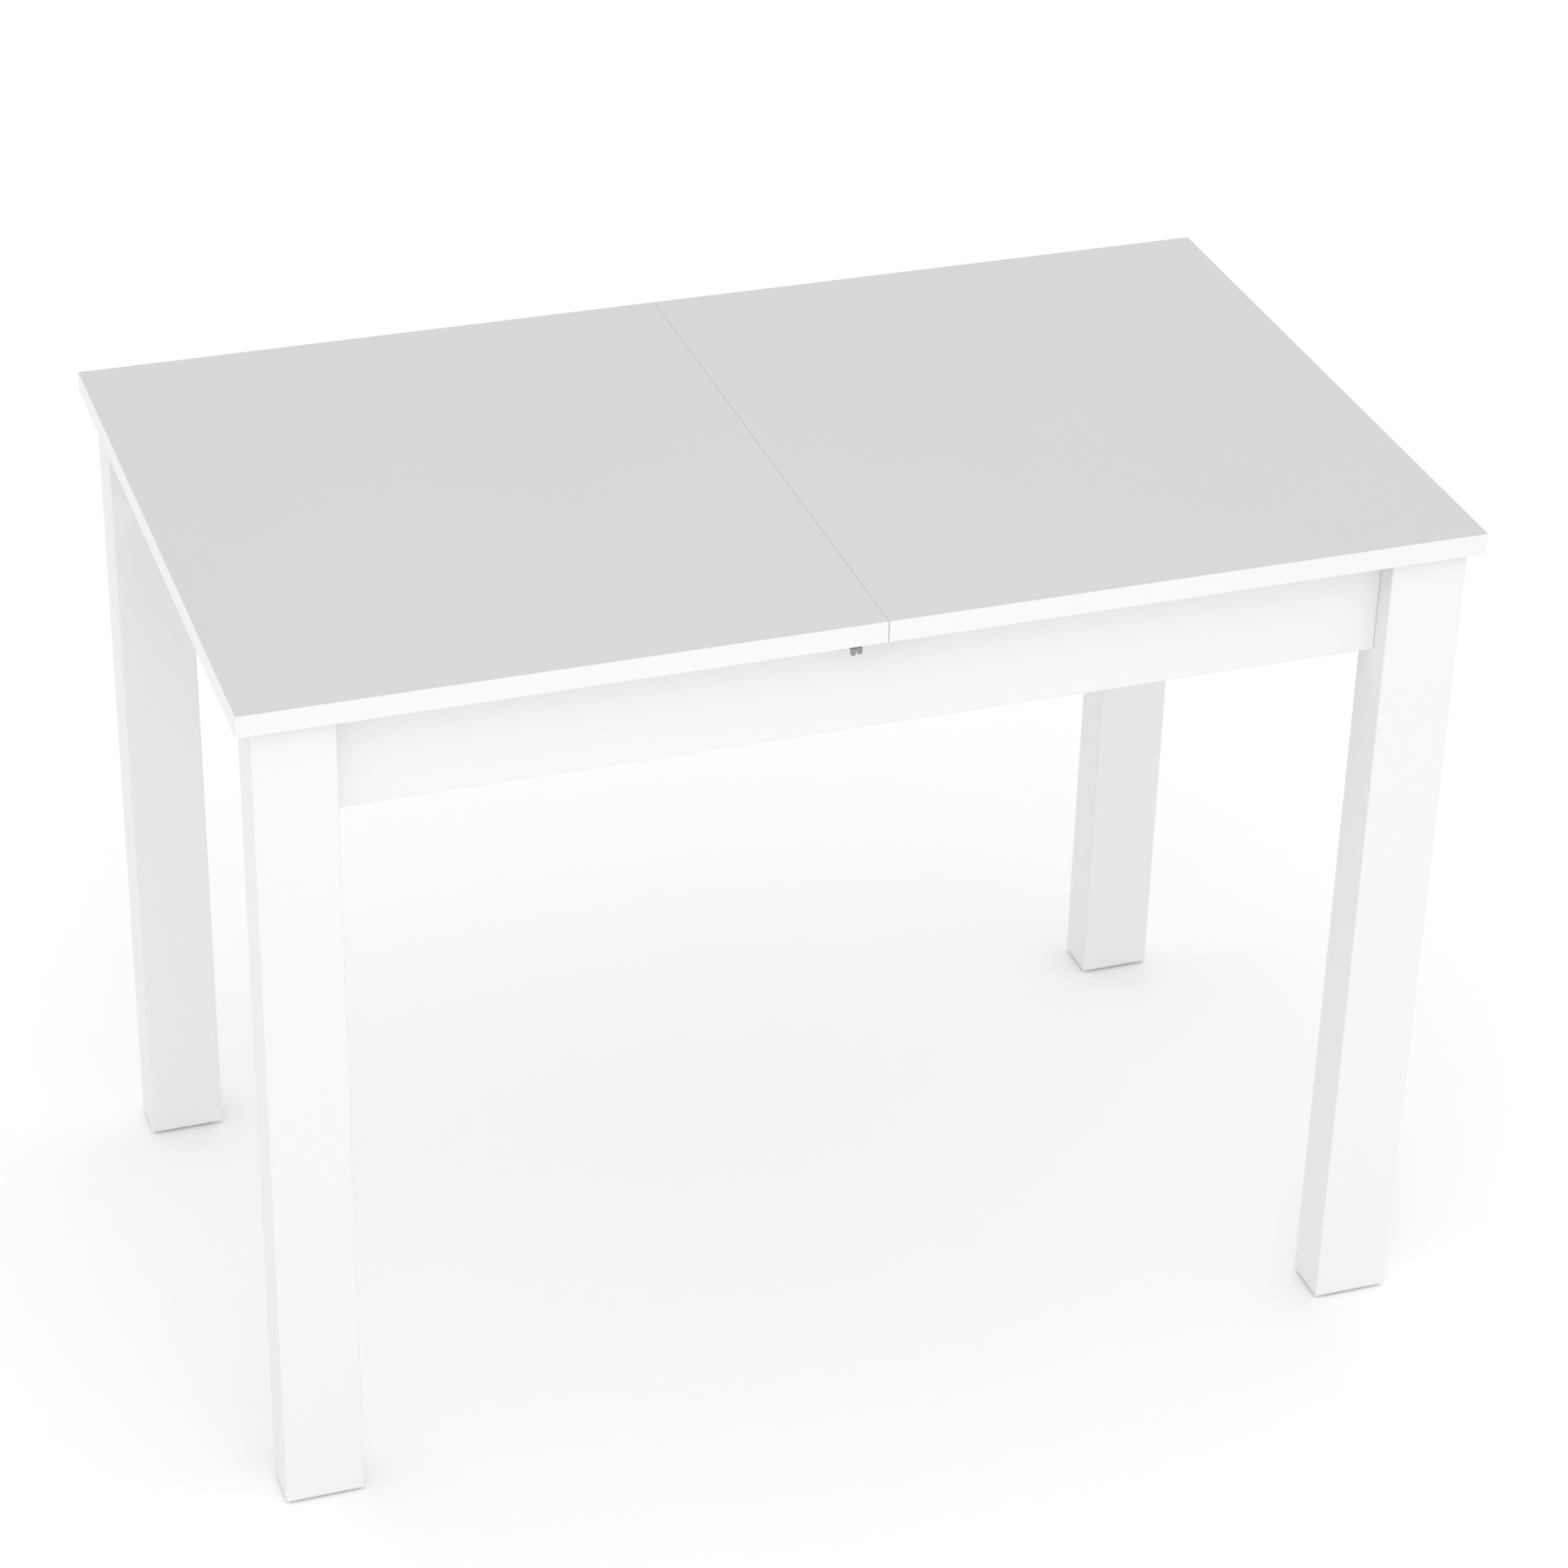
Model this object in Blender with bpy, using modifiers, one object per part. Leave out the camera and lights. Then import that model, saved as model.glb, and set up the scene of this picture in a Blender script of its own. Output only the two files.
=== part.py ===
"""An extending dining table, in metres, +Z up.

The top runs along X, its front edge faces -Y, and the origin is on the floor under the middle of the
closed top. Two top halves slide apart along X on hardwood runners that hang in grooved guide rails.
A loose leaf, stored crosswise under them, fills the gap. The frame is four straight legs, four aprons
and bolted corner blocks. A swivel catch under each long edge ties the halves together.
"""

import math

import bmesh
import bpy
from mathutils import Vector

# Closed table
TOP_LENGTH = 1.010
TOP_WIDTH = 0.600
TABLE_HEIGHT = 0.750

# Boards of the top and the leaf
BOARD_THICKNESS = 0.018
BOARD_EASING = 0.0008
SEAM_GAP = 0.0005

# Legs, their glides and the aprons between them
LEG_LENGTHWISE = 0.065
LEG_CROSSWISE = 0.045
LEG_EASING = 0.0015
END_OVERHANG = 0.012
SIDE_OVERHANG = 0.008
APRON_HEIGHT = 0.088
APRON_THICKNESS = 0.018
APRON_SETBACK = 0.020
APRON_EASING = 0.0010
GLIDE_RADIUS = 0.012
GLIDE_THICKNESS = 0.002
GLIDE_EASING = 0.0006

# Corner joints: a block against the leg's inner corner, drawn tight by a bolt at 45 degrees
BLOCK_HEIGHT = 0.046
BLOCK_DEPTH = 0.040
BLOCK_EASING = 0.0010
BOLT_RADIUS = 0.004
BOLT_IN_LEG = 0.030
BOLT_PAST_NUT = 0.004
BOLT_POINT = 0.001
WASHER_RADIUS = 0.010
WASHER_THICKNESS = 0.0016
NUT_HEIGHT = 0.008
NUT_WALL = 0.0028
NUT_TOP_INSET = 0.0010
WING_SPAN = 0.030
WING_RISE = 0.006
WING_THICKNESS = 0.0022
WING_ROOT_INSET = 0.0014
WING_ROOT_MARGIN = 0.0010
WING_TIP_CUT = 0.0040
WING_ROUND = 0.0018

# Sliding gear: a fixed rail grooved on both sides, and a tongued runner on each side of it
RAIL_WIDTH = 0.022
GROOVE_HEIGHT = 0.010
GROOVE_DEPTH = 0.007
RUNNER_WIDTH = 0.016
RUNNER_HEIGHT = 0.036
RUNNER_REACH = 0.025
RUNNER_EASING = 0.0008
BUFFER_RADIUS = 0.007
BUFFER_LENGTH = 0.008
BUFFER_EASING = 0.0012

# Leaf store
BATTEN_WIDTH = 0.040
BATTEN_THICKNESS = 0.020
BATTEN_PLACE = 0.200
LEAF_SIDE_ROOM = 0.016

# Pins that line the boards up at the seams
PIN_COUNT = 3
PIN_RADIUS = 0.004
PIN_OUT = 0.010
PIN_IN = 0.015
PIN_END_DISTANCE = 0.090
PIN_POINT = 0.0010

# Swivel catches, with lengths measured from the lever's pivot
CATCH_PIVOT_TO_SEAM = 0.013
CATCH_PIVOT_TO_STUD = 0.028
CATCH_SWING = math.radians(10.0)
CATCH_TAIL = 0.018
CATCH_TAB_WIDTH = 0.010
CATCH_TAB_DROP = 0.0085
CATCH_TAB_INSET = 0.0020
CATCH_TAB_THICKNESS = 0.0020
CATCH_BAR_FRONT = 0.0020
CATCH_BAR_BACK = 0.0050
CATCH_BAR_THICKNESS = 0.0020
CATCH_BAR_ROUND = 0.0030
CATCH_HEEL_ROUND = 0.0020
CATCH_CORNER_ROUND = 0.0010
CATCH_MOUTH_ROUND = 0.0004
CATCH_PLATE_THICKNESS = 0.0015
CATCH_PLATE_LENGTH = 0.026
CATCH_PLATE_MARGIN = 0.0040
CATCH_PLATE_ROUND = 0.0020
CATCH_PLATE_TO_SEAM = 0.0020
CATCH_STUD_RADIUS = 0.0020
CATCH_HEAD_RADIUS = 0.0035
CATCH_HEAD_HEIGHT = 0.0013
CATCH_TIP_WALL = 0.0028
CATCH_APRON_ROOM = 0.0015

# Clearances
FIT = 0.0003
SLIDE_GAP = 0.0010
RUNNER_SIDE_GAP = 0.0005
RUNNER_UNDER_GAP = 0.0027
TONGUE_GAP = 0.0004
HOLE_GAP = 0.0003
PIVOT_GAP = 0.0001
NOTCH_GAP = 0.0005
SOCKET_GAP = 0.0010

ROUND_STEPS = 16
ARC_STEPS = 6
MERGE = 0.000001
ENDS = {"left": -1, "right": 1}
SIDES = {"front": -1, "back": 1}

# Heights
UNDERSIDE = TABLE_HEIGHT - BOARD_THICKNESS
FRAME_TOP = UNDERSIDE - SLIDE_GAP
RUNNER_TOP = UNDERSIDE - FIT
RUNNER_BOTTOM = RUNNER_TOP - RUNNER_HEIGHT
RAIL_BOTTOM = RUNNER_BOTTOM - RUNNER_UNDER_GAP
GROOVE_MIDDLE = (RAIL_BOTTOM + FRAME_TOP) / 2
BEARER_TOP = RAIL_BOTTOM - FIT
LEAF_BOTTOM = BEARER_TOP + FIT

# Distances from the middle of the table, along X and across it
LEG_OUTER_X = TOP_LENGTH / 2 - END_OVERHANG
LEG_OUTER_Y = TOP_WIDTH / 2 - SIDE_OVERHANG
LEG_INNER_X = LEG_OUTER_X - LEG_LENGTHWISE
LEG_INNER_Y = LEG_OUTER_Y - LEG_CROSSWISE
APRON_OUTER_X = LEG_OUTER_X - APRON_SETBACK
APRON_OUTER_Y = LEG_OUTER_Y - APRON_SETBACK
APRON_INNER_X = APRON_OUTER_X - APRON_THICKNESS
APRON_INNER_Y = APRON_OUTER_Y - APRON_THICKNESS

# The left half's runners slide on the rails' outer sides, past the legs and the aprons, and the right
# half's on their inner sides
LANE = RAIL_WIDTH / 2 + RUNNER_SIDE_GAP + RUNNER_WIDTH / 2
RAIL_Y = min(APRON_INNER_Y, LEG_INNER_Y) - SLIDE_GAP - RUNNER_WIDTH / 2 - LANE
RUNNER_Y = {"left": RAIL_Y + LANE, "right": RAIL_Y - LANE}

# The leaf is as long as the store between the inner runners takes, and the halves part by that much
STORE_HALF_WIDTH = RUNNER_Y["right"] - RUNNER_WIDTH / 2
LEAF_LENGTH = 2 * (STORE_HALF_WIDTH - LEAF_SIDE_ROOM)
TRAVEL = (LEAF_LENGTH + SEAM_GAP) / 2
BUFFER_FACE = APRON_INNER_X - FIT - BUFFER_LENGTH
RUNNER_OUTER_END = BUFFER_FACE - FIT - TRAVEL
RUNNER_INNER_END = TRAVEL + RUNNER_REACH

# The catch stands in the strip of underside in front of the apron
CATCH_TIP = CATCH_PIVOT_TO_STUD + CATCH_STUD_RADIUS + NOTCH_GAP + CATCH_TIP_WALL
CATCH_BACK_REACH = CATCH_TIP * math.sin(CATCH_SWING) + CATCH_BAR_BACK * math.cos(CATCH_SWING)
CATCH_PIVOT_Y = APRON_OUTER_Y + CATCH_APRON_ROOM + CATCH_BACK_REACH
CATCH_EAR = (
    TOP_WIDTH / 2 - CATCH_TAB_INSET - CATCH_PIVOT_Y - CATCH_TAIL * math.sin(CATCH_SWING)
) / math.cos(CATCH_SWING)
CATCH_PLATE_BOTTOM = UNDERSIDE - FIT - CATCH_PLATE_THICKNESS
CATCH_BAR_TOP = CATCH_PLATE_BOTTOM - FIT
CATCH_BAR_BOTTOM = CATCH_BAR_TOP - CATCH_BAR_THICKNESS
CATCH_HEAD_TOP = CATCH_BAR_BOTTOM - FIT
CATCH_HEAD_BOTTOM = CATCH_HEAD_TOP - CATCH_HEAD_HEIGHT


# ---- Tools ----


def new_collection(name):
    collection = bpy.data.collections.new(name)
    bpy.context.scene.collection.children.link(collection)
    return collection


def new_material(name, colour, roughness, metallic=0.0):
    material = bpy.data.materials.new(name)
    material.use_nodes = True
    shader = material.node_tree.nodes["Principled BSDF"]
    shader.inputs["Base Color"].default_value = (*colour, 1.0)
    shader.inputs["Roughness"].default_value = roughness
    shader.inputs["Metallic"].default_value = metallic
    return material


def place(name, mesh, material, location=(0, 0, 0), rotation=(0, 0, 0), parent=None):
    """A visible piece of the table."""
    obj = bpy.data.objects.new(name, mesh)
    TABLE.objects.link(obj)
    mesh.materials.append(material)
    obj.location = location
    obj.rotation_euler = rotation
    obj.parent = parent
    return obj


def pivot(name, location=(0, 0, 0), rotation=(0, 0, 0), parent=None):
    """An empty that the pieces of one moving group, or of one joint, hang on."""
    empty = bpy.data.objects.new(name, None)
    TABLE.objects.link(empty)
    empty.empty_display_size = 0.05
    empty.location = location
    empty.rotation_euler = rotation
    empty.parent = parent
    return empty


def ease(obj, width, segments=2):
    """Rounds the sharp edges of a piece."""
    bevel = obj.modifiers.new("eased_edges", "BEVEL")
    bevel.width = width
    bevel.segments = segments
    bevel.limit_method = "ANGLE"
    bevel.use_clamp_overlap = True


def cube_mesh(name, size):
    mesh = bpy.data.meshes.new(name)
    shape = bmesh.new()
    bmesh.ops.create_cube(shape, size=1.0)
    bmesh.ops.scale(shape, vec=size, verts=shape.verts)
    shape.to_mesh(mesh)
    shape.free()
    return mesh


def block(name, low, high, material, easing, parent=None):
    """A box between two corners, with its origin in its middle."""
    low, high = Vector(low), Vector(high)
    obj = place(name, cube_mesh(name, high - low), material, (low + high) / 2, parent=parent)
    ease(obj, easing)
    return obj


def mirrored_block(name, low, high, material, easing, x_sign=1, y_sign=1, parent=None):
    """A box given in the corner of positive X and Y, moved to the corner that the signs name."""
    xs = sorted((x_sign * low[0], x_sign * high[0]))
    ys = sorted((y_sign * low[1], y_sign * high[1]))
    return block(name, (xs[0], ys[0], low[2]), (xs[1], ys[1], high[2]), material, easing, parent)


def turned(name, profile, material, location=(0, 0, 0), rotation=(0, 0, 0), parent=None, ring=False):
    """A profile of (radius, height) points, down its outer side, turned about Z. A ring's is closed."""
    mesh = bpy.data.meshes.new(name)
    points = [(radius, 0.0, height) for radius, height in profile]
    edges = [(i, i + 1) for i in range(len(points) - 1)]
    if ring:
        edges.append((len(points) - 1, 0))
    mesh.from_pydata(points, edges, [])
    obj = place(name, mesh, material, location, rotation, parent)
    screw = obj.modifiers.new("turning", "SCREW")
    screw.steps = ROUND_STEPS
    screw.render_steps = ROUND_STEPS
    screw.use_merge_vertices = True
    screw.merge_threshold = MERGE
    return obj


def rounded(corners):
    """The outline through corners of (x, y, radius), each rounded by an arc tangent to both sides."""
    points = []
    for i, (x, y, radius) in enumerate(corners):
        corner = Vector((x, y))
        if radius == 0:
            points.append(corner)
            continue
        back = (Vector(corners[i - 1][:2]) - corner).normalized()
        ahead = (Vector(corners[(i + 1) % len(corners)][:2]) - corner).normalized()
        half_angle = back.angle(ahead) / 2
        centre = corner + (back + ahead).normalized() * radius / math.sin(half_angle)
        reach = radius / math.tan(half_angle)
        start = (corner + back * reach - centre).normalized()
        end = (corner + ahead * reach - centre).normalized()
        fractions = [step / ARC_STEPS for step in range(ARC_STEPS + 1)]
        points += [centre + start.slerp(end, fraction) * radius for fraction in fractions]
    return [point for i, point in enumerate(points) if (point - points[i - 1]).length > MERGE]


def plate_mesh(name, outline, thickness):
    """A flat outline in XY, thickened by half to each side of its plane."""
    curve = bpy.data.curves.new(name, "CURVE")
    curve.dimensions = "2D"
    curve.fill_mode = "BOTH"
    curve.extrude = thickness / 2
    spline = curve.splines.new("POLY")
    spline.points.add(len(outline) - 1)
    for point, (x, y) in zip(spline.points, outline):
        point.co = (x, y, 0.0, 1.0)
    spline.use_cyclic_u = True
    guide = bpy.data.objects.new(name, curve)
    TABLE.objects.link(guide)
    bpy.context.view_layer.update()
    graph = bpy.context.evaluated_depsgraph_get()
    mesh = bpy.data.meshes.new_from_object(guide.evaluated_get(graph))
    bpy.data.objects.remove(guide)
    shape = bmesh.new()
    shape.from_mesh(mesh)
    bmesh.ops.remove_doubles(shape, verts=shape.verts, dist=MERGE)
    bmesh.ops.recalc_face_normals(shape, faces=shape.faces)
    shape.to_mesh(mesh)
    shape.free()
    return mesh


def plate(name, outline, low, high, material, location=(0, 0), parent=None):
    """An upright prism between two heights."""
    at = (location[0], location[1], (low + high) / 2)
    return place(name, plate_mesh(name, outline, high - low), material, at, parent=parent)


def bar(name, section, low_x, high_x, material, parent=None):
    """A bar along X with its section in Y and Z."""
    mesh = plate_mesh(name, section, high_x - low_x)
    along_x = (math.radians(90), 0, math.radians(90))
    obj = place(name, mesh, material, ((low_x + high_x) / 2, 0, 0), along_x, parent)
    ease(obj, RUNNER_EASING, 1)
    return obj


def make_cutter(obj):
    TABLE.objects.unlink(obj)
    CUTTERS.objects.link(obj)
    obj.hide_render = True
    obj.display_type = "WIRE"
    return obj


def combine(obj, other, operation):
    boolean = obj.modifiers.new(other.name, "BOOLEAN")
    boolean.operation = operation
    boolean.solver = "EXACT"
    boolean.object = make_cutter(other)


def rod(name, radius, low, high, location=(0, 0, 0), rotation=(0, 0, 0), parent=None):
    """A plain cylinder along its own Z between two heights, for drilling."""
    profile = [(0, high), (radius, high), (radius, low), (0, low)]
    return turned(name, profile, CUTTER, location, rotation, parent)


def drill(obj, name, radius, low, high, location=(0, 0, 0), rotation=(0, 0, 0), parent=None):
    combine(obj, rod(name, radius, low, high, location, rotation, parent), "DIFFERENCE")


def pin_profile(radius, low, high, point):
    """A straight pin with chamfered ends."""
    return [
        (0, high),
        (radius - point, high),
        (radius, high - point),
        (radius, low + point),
        (radius - point, low),
        (0, low),
    ]


# ---- Frame ----


def make_legs():
    """Four straight legs on round glides, each leg drilled at 45 degrees for its corner's bolt."""
    legs = {}
    for end, x_sign in ENDS.items():
        for side, y_sign in SIDES.items():
            corner = f"{side}_{end}"
            legs[corner] = mirrored_block(
                f"leg_{corner}",
                (LEG_INNER_X, LEG_INNER_Y, GLIDE_THICKNESS + FIT),
                (LEG_OUTER_X, LEG_OUTER_Y, FRAME_TOP),
                WHITE_FRAME,
                LEG_EASING,
                x_sign,
                y_sign,
            )
            middle_x = x_sign * (LEG_INNER_X + LEG_OUTER_X) / 2
            middle_y = y_sign * (LEG_INNER_Y + LEG_OUTER_Y) / 2
            glide = pin_profile(GLIDE_RADIUS, 0.0, GLIDE_THICKNESS, GLIDE_EASING)
            turned(f"foot_glide_{corner}", glide, GLIDE_PLASTIC, (middle_x, middle_y, 0))
    return legs


def make_aprons():
    """Front and back aprons stand between the legs' inner sides, and end aprons between their backs."""
    low, high = FRAME_TOP - APRON_HEIGHT, FRAME_TOP
    aprons = {}
    for side, y_sign in SIDES.items():
        aprons[side] = mirrored_block(
            f"apron_{side}",
            (-LEG_INNER_X + FIT, APRON_INNER_Y, low),
            (LEG_INNER_X - FIT, APRON_OUTER_Y, high),
            WHITE_FRAME,
            APRON_EASING,
            y_sign=y_sign,
        )
    for end, x_sign in ENDS.items():
        aprons[end] = mirrored_block(
            f"apron_{end}",
            (APRON_INNER_X, -LEG_INNER_Y + FIT, low),
            (APRON_OUTER_X, LEG_INNER_Y - FIT, high),
            WHITE_FRAME,
            APRON_EASING,
            x_sign=x_sign,
        )
    return aprons


def make_corner_block(corner, x_sign, y_sign):
    """A prism that fits round the leg's inner corner, between the two aprons, with a face at 45 degrees."""
    slant = LEG_INNER_X + LEG_INNER_Y - BLOCK_DEPTH * math.sqrt(2)
    apron_x, apron_y = APRON_INNER_X - FIT, APRON_INNER_Y - FIT
    leg_x, leg_y = LEG_INNER_X - FIT, LEG_INNER_Y - FIT
    outline = [
        (leg_x, apron_y),
        (slant - apron_y, apron_y),
        (apron_x, slant - apron_x),
        (apron_x, leg_y),
        (leg_x, leg_y),
    ]
    outline = [(x_sign * x, y_sign * y) for x, y in outline]
    low, high = BEARER_TOP - BLOCK_HEIGHT, BEARER_TOP
    obj = plate(f"corner_block_{corner}", outline, low, high, BEECH)
    ease(obj, BLOCK_EASING, 1)
    return obj


def make_wing_nut(name, low, parent):
    """A hub with two raised wings, bored through for the bolt."""
    hub = BOLT_RADIUS + NUT_WALL
    high = low + NUT_HEIGHT
    profile = [(0, high), (hub - NUT_TOP_INSET, high), (hub, low), (0, low)]
    nut = turned(name, profile, ZINC, parent=parent)
    tip, root = WING_SPAN / 2, hub - WING_ROOT_INSET
    top = high + WING_RISE
    right = [
        (root, low + WING_ROOT_MARGIN, 0),
        (tip, top - WING_TIP_CUT, WING_ROUND),
        (tip - WING_TIP_CUT, top, WING_ROUND),
        (root, high - WING_ROOT_MARGIN, 0),
    ]
    wings = right + [(-y, z, radius) for y, z, radius in reversed(right)]
    mesh = plate_mesh(f"{name}_wings", rounded(wings), WING_THICKNESS)
    upright = (math.radians(90), 0, math.radians(90))
    combine(nut, place(f"{name}_wings", mesh, ZINC, (0, 0, 0), upright, parent), "UNION")
    bore = BOLT_RADIUS + HOLE_GAP
    drill(nut, f"{name}_bore", bore, low - WING_RISE, top + WING_RISE, parent=parent)


def make_corner_joints(legs, aprons):
    """Each corner's bolt runs level from the leg through the block, to a washer and a wing nut.

    The hole also clears the end of an apron, where its inner face lies level with the leg's back.
    """
    height = BEARER_TOP - BLOCK_HEIGHT / 2
    washer_low = BLOCK_DEPTH + FIT
    nut_low = washer_low + WASHER_THICKNESS + FIT
    bolt_high = nut_low + NUT_HEIGHT + BOLT_PAST_NUT
    hole = BOLT_RADIUS + HOLE_GAP
    for end, x_sign in ENDS.items():
        for side, y_sign in SIDES.items():
            corner = f"{side}_{end}"
            inwards = math.atan2(-y_sign, -x_sign)
            at = (x_sign * LEG_INNER_X, y_sign * LEG_INNER_Y, height)
            joint = pivot(f"corner_joint_{corner}", at, (0, math.radians(90), inwards))
            corner_block = make_corner_block(corner, x_sign, y_sign)
            low, high = -BOLT_IN_LEG - HOLE_GAP, BLOCK_DEPTH * 2
            for piece in (legs[corner], corner_block, aprons[side], aprons[end]):
                drill(piece, f"{piece.name}_hole_{corner}", hole, low, high, parent=joint)
            bolt = pin_profile(BOLT_RADIUS, -BOLT_IN_LEG, bolt_high, BOLT_POINT)
            turned(f"hanger_bolt_{corner}", bolt, ZINC, parent=joint)
            washer_high = washer_low + WASHER_THICKNESS
            washer = [
                (WASHER_RADIUS, washer_high),
                (WASHER_RADIUS, washer_low),
                (hole, washer_low),
                (hole, washer_high),
            ]
            turned(f"washer_{corner}", washer, ZINC, parent=joint, ring=True)
            make_wing_nut(f"wing_nut_{corner}", nut_low, joint)


def make_leaf_battens():
    """Two battens between the long aprons carry the stored leaf and hold the rails up."""
    for end, x_sign in ENDS.items():
        mirrored_block(
            f"leaf_batten_{end}",
            (BATTEN_PLACE - BATTEN_WIDTH / 2, -APRON_INNER_Y + FIT, BEARER_TOP - BATTEN_THICKNESS),
            (BATTEN_PLACE + BATTEN_WIDTH / 2, APRON_INNER_Y - FIT, BEARER_TOP),
            BEECH,
            RUNNER_EASING,
            x_sign=x_sign,
        )


# ---- Sliding gear ----


def make_guide_rails():
    """Each rail spans the frame, on the corner blocks and battens, with a groove along both sides."""
    half, web = RAIL_WIDTH / 2, RAIL_WIDTH / 2 - GROOVE_DEPTH
    groove_low, groove_high = GROOVE_MIDDLE - GROOVE_HEIGHT / 2, GROOVE_MIDDLE + GROOVE_HEIGHT / 2
    right = [
        (half, RAIL_BOTTOM),
        (half, groove_low),
        (web, groove_low),
        (web, groove_high),
        (half, groove_high),
        (half, FRAME_TOP),
    ]
    left = [(-y, z) for y, z in reversed(right)]
    for side, y_sign in SIDES.items():
        section = [(y_sign * RAIL_Y + y, z) for y, z in right + left]
        bar(f"guide_rail_{side}", section, -APRON_INNER_X + FIT, APRON_INNER_X - FIT, BEECH)


def make_runner(name, y_sign, end, parent):
    """A runner whose tongue points at the rail. It reaches past the seam to carry the leaf when open."""
    middle = RUNNER_Y[end]
    toward_rail = math.copysign(1, RAIL_Y - middle)
    face = middle + toward_rail * RUNNER_WIDTH / 2
    tongue = RAIL_Y - toward_rail * (RAIL_WIDTH / 2 - GROOVE_DEPTH + TONGUE_GAP)
    away = middle - toward_rail * RUNNER_WIDTH / 2
    half_tongue = GROOVE_HEIGHT / 2 - TONGUE_GAP
    section = [
        (away, RUNNER_BOTTOM),
        (face, RUNNER_BOTTOM),
        (face, GROOVE_MIDDLE - half_tongue),
        (tongue, GROOVE_MIDDLE - half_tongue),
        (tongue, GROOVE_MIDDLE + half_tongue),
        (face, GROOVE_MIDDLE + half_tongue),
        (face, RUNNER_TOP),
        (away, RUNNER_TOP),
    ]
    section = [(y_sign * y, z) for y, z in section]
    ends = sorted((ENDS[end] * RUNNER_OUTER_END, -ENDS[end] * RUNNER_INNER_END))
    bar(name, section, ends[0], ends[1], BEECH, parent)


def make_buffers():
    """A rubber buffer on the end apron stops each runner at the end of its travel."""
    height = (RUNNER_BOTTOM + RUNNER_TOP) / 2
    profile = pin_profile(BUFFER_RADIUS, 0.0, BUFFER_LENGTH, BUFFER_EASING)
    for end, x_sign in ENDS.items():
        for side, y_sign in SIDES.items():
            at = (x_sign * BUFFER_FACE, y_sign * RUNNER_Y[end], height)
            along_x = (0, x_sign * math.radians(90), 0)
            turned(f"runner_buffer_{side}_{end}", profile, RUBBER, at, along_x)


# ---- Boards ----


def pin_places():
    """The pins' places across the table, evenly spaced."""
    first = TOP_WIDTH / 2 - PIN_END_DISTANCE
    return [first - 2 * first * i / (PIN_COUNT - 1) for i in range(PIN_COUNT)]


def drill_edge(obj, name, x, height, depth, parent):
    """A row of pin holes into the edge at x. A positive depth runs towards +X."""
    low, high = sorted((-math.copysign(PIN_OUT, depth), depth))
    for number, y in enumerate(pin_places(), 1):
        at, along_x = (x, y, height), (0, math.radians(90), 0)
        drill(obj, f"{name}_{number}", PIN_RADIUS + HOLE_GAP, low, high, at, along_x, parent)


def add_pins(name, x, height, parent):
    """Beech pins set into the edge at x that stand out of it towards -X."""
    profile = pin_profile(PIN_RADIUS, -PIN_OUT, PIN_IN, PIN_POINT)
    for number, y in enumerate(pin_places(), 1):
        turned(f"{name}_{number}", profile, BEECH, (x, y, height), (0, math.radians(90), 0), parent)


def make_top_half(end, slide):
    """A half of the top: the left one has the sockets at the seam, and the right one the pins."""
    name = f"top_{end}"
    x_sign = ENDS[end]
    half = mirrored_block(
        name,
        (SEAM_GAP / 2, -TOP_WIDTH / 2, UNDERSIDE),
        (TOP_LENGTH / 2, TOP_WIDTH / 2, TABLE_HEIGHT),
        WHITE_TOP,
        BOARD_EASING,
        x_sign=x_sign,
        parent=slide,
    )
    seam, middle = x_sign * SEAM_GAP / 2, TABLE_HEIGHT - BOARD_THICKNESS / 2
    if end == "left":
        drill_edge(half, "seam_socket", seam, middle, -(PIN_OUT + SOCKET_GAP), slide)
    else:
        drill_edge(half, "seam_pin_hole", seam, middle, PIN_IN + HOLE_GAP, slide)
        add_pins("seam_pin", seam, middle, slide)
    for side, y_sign in SIDES.items():
        make_runner(f"runner_{side}_{end}", y_sign, end, slide)


def make_leaf():
    """The leaf as it lies in use, X along the table, turned a quarter to lie in its store."""
    size = (LEAF_LENGTH, TOP_WIDTH, BOARD_THICKNESS)
    leaf = place("insert_leaf", cube_mesh("insert_leaf", size), WHITE_TOP, parent=LEAF_PIVOT)
    ease(leaf, BOARD_EASING)
    drill_edge(leaf, "leaf_pin_hole", -LEAF_LENGTH / 2, 0.0, PIN_IN + HOLE_GAP, LEAF_PIVOT)
    drill_edge(leaf, "leaf_socket", LEAF_LENGTH / 2, 0.0, -(PIN_OUT + SOCKET_GAP), LEAF_PIVOT)
    add_pins("leaf_pin", -LEAF_LENGTH / 2, 0.0, LEAF_PIVOT)


# ---- Catches ----


def catch_plate(name, x_low, x_high, y_sign, parent):
    """A plate let flat against a half's underside, in the strip in front of the apron."""
    y_low, y_high = sorted(
        (y_sign * (APRON_OUTER_Y + CATCH_PLATE_MARGIN), y_sign * (TOP_WIDTH / 2 - CATCH_PLATE_MARGIN))
    )
    corners = [(x_low, y_low), (x_high, y_low), (x_high, y_high), (x_low, y_high)]
    outline = rounded([(x, y, CATCH_PLATE_ROUND) for x, y in corners])
    return plate(name, outline, CATCH_PLATE_BOTTOM, UNDERSIDE - FIT, DARK_STEEL, parent=parent)


def headed_stud(top):
    """A stud's profile from its top down to the head under the lever."""
    return [
        (0, top),
        (CATCH_STUD_RADIUS, top),
        (CATCH_STUD_RADIUS, CATCH_HEAD_TOP),
        (CATCH_HEAD_RADIUS, CATCH_HEAD_TOP),
        (CATCH_HEAD_RADIUS, CATCH_HEAD_BOTTOM + CATCH_HEAD_HEIGHT / 2),
        (CATCH_STUD_RADIUS, CATCH_HEAD_BOTTOM),
        (0, CATCH_HEAD_BOTTOM),
    ]


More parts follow.
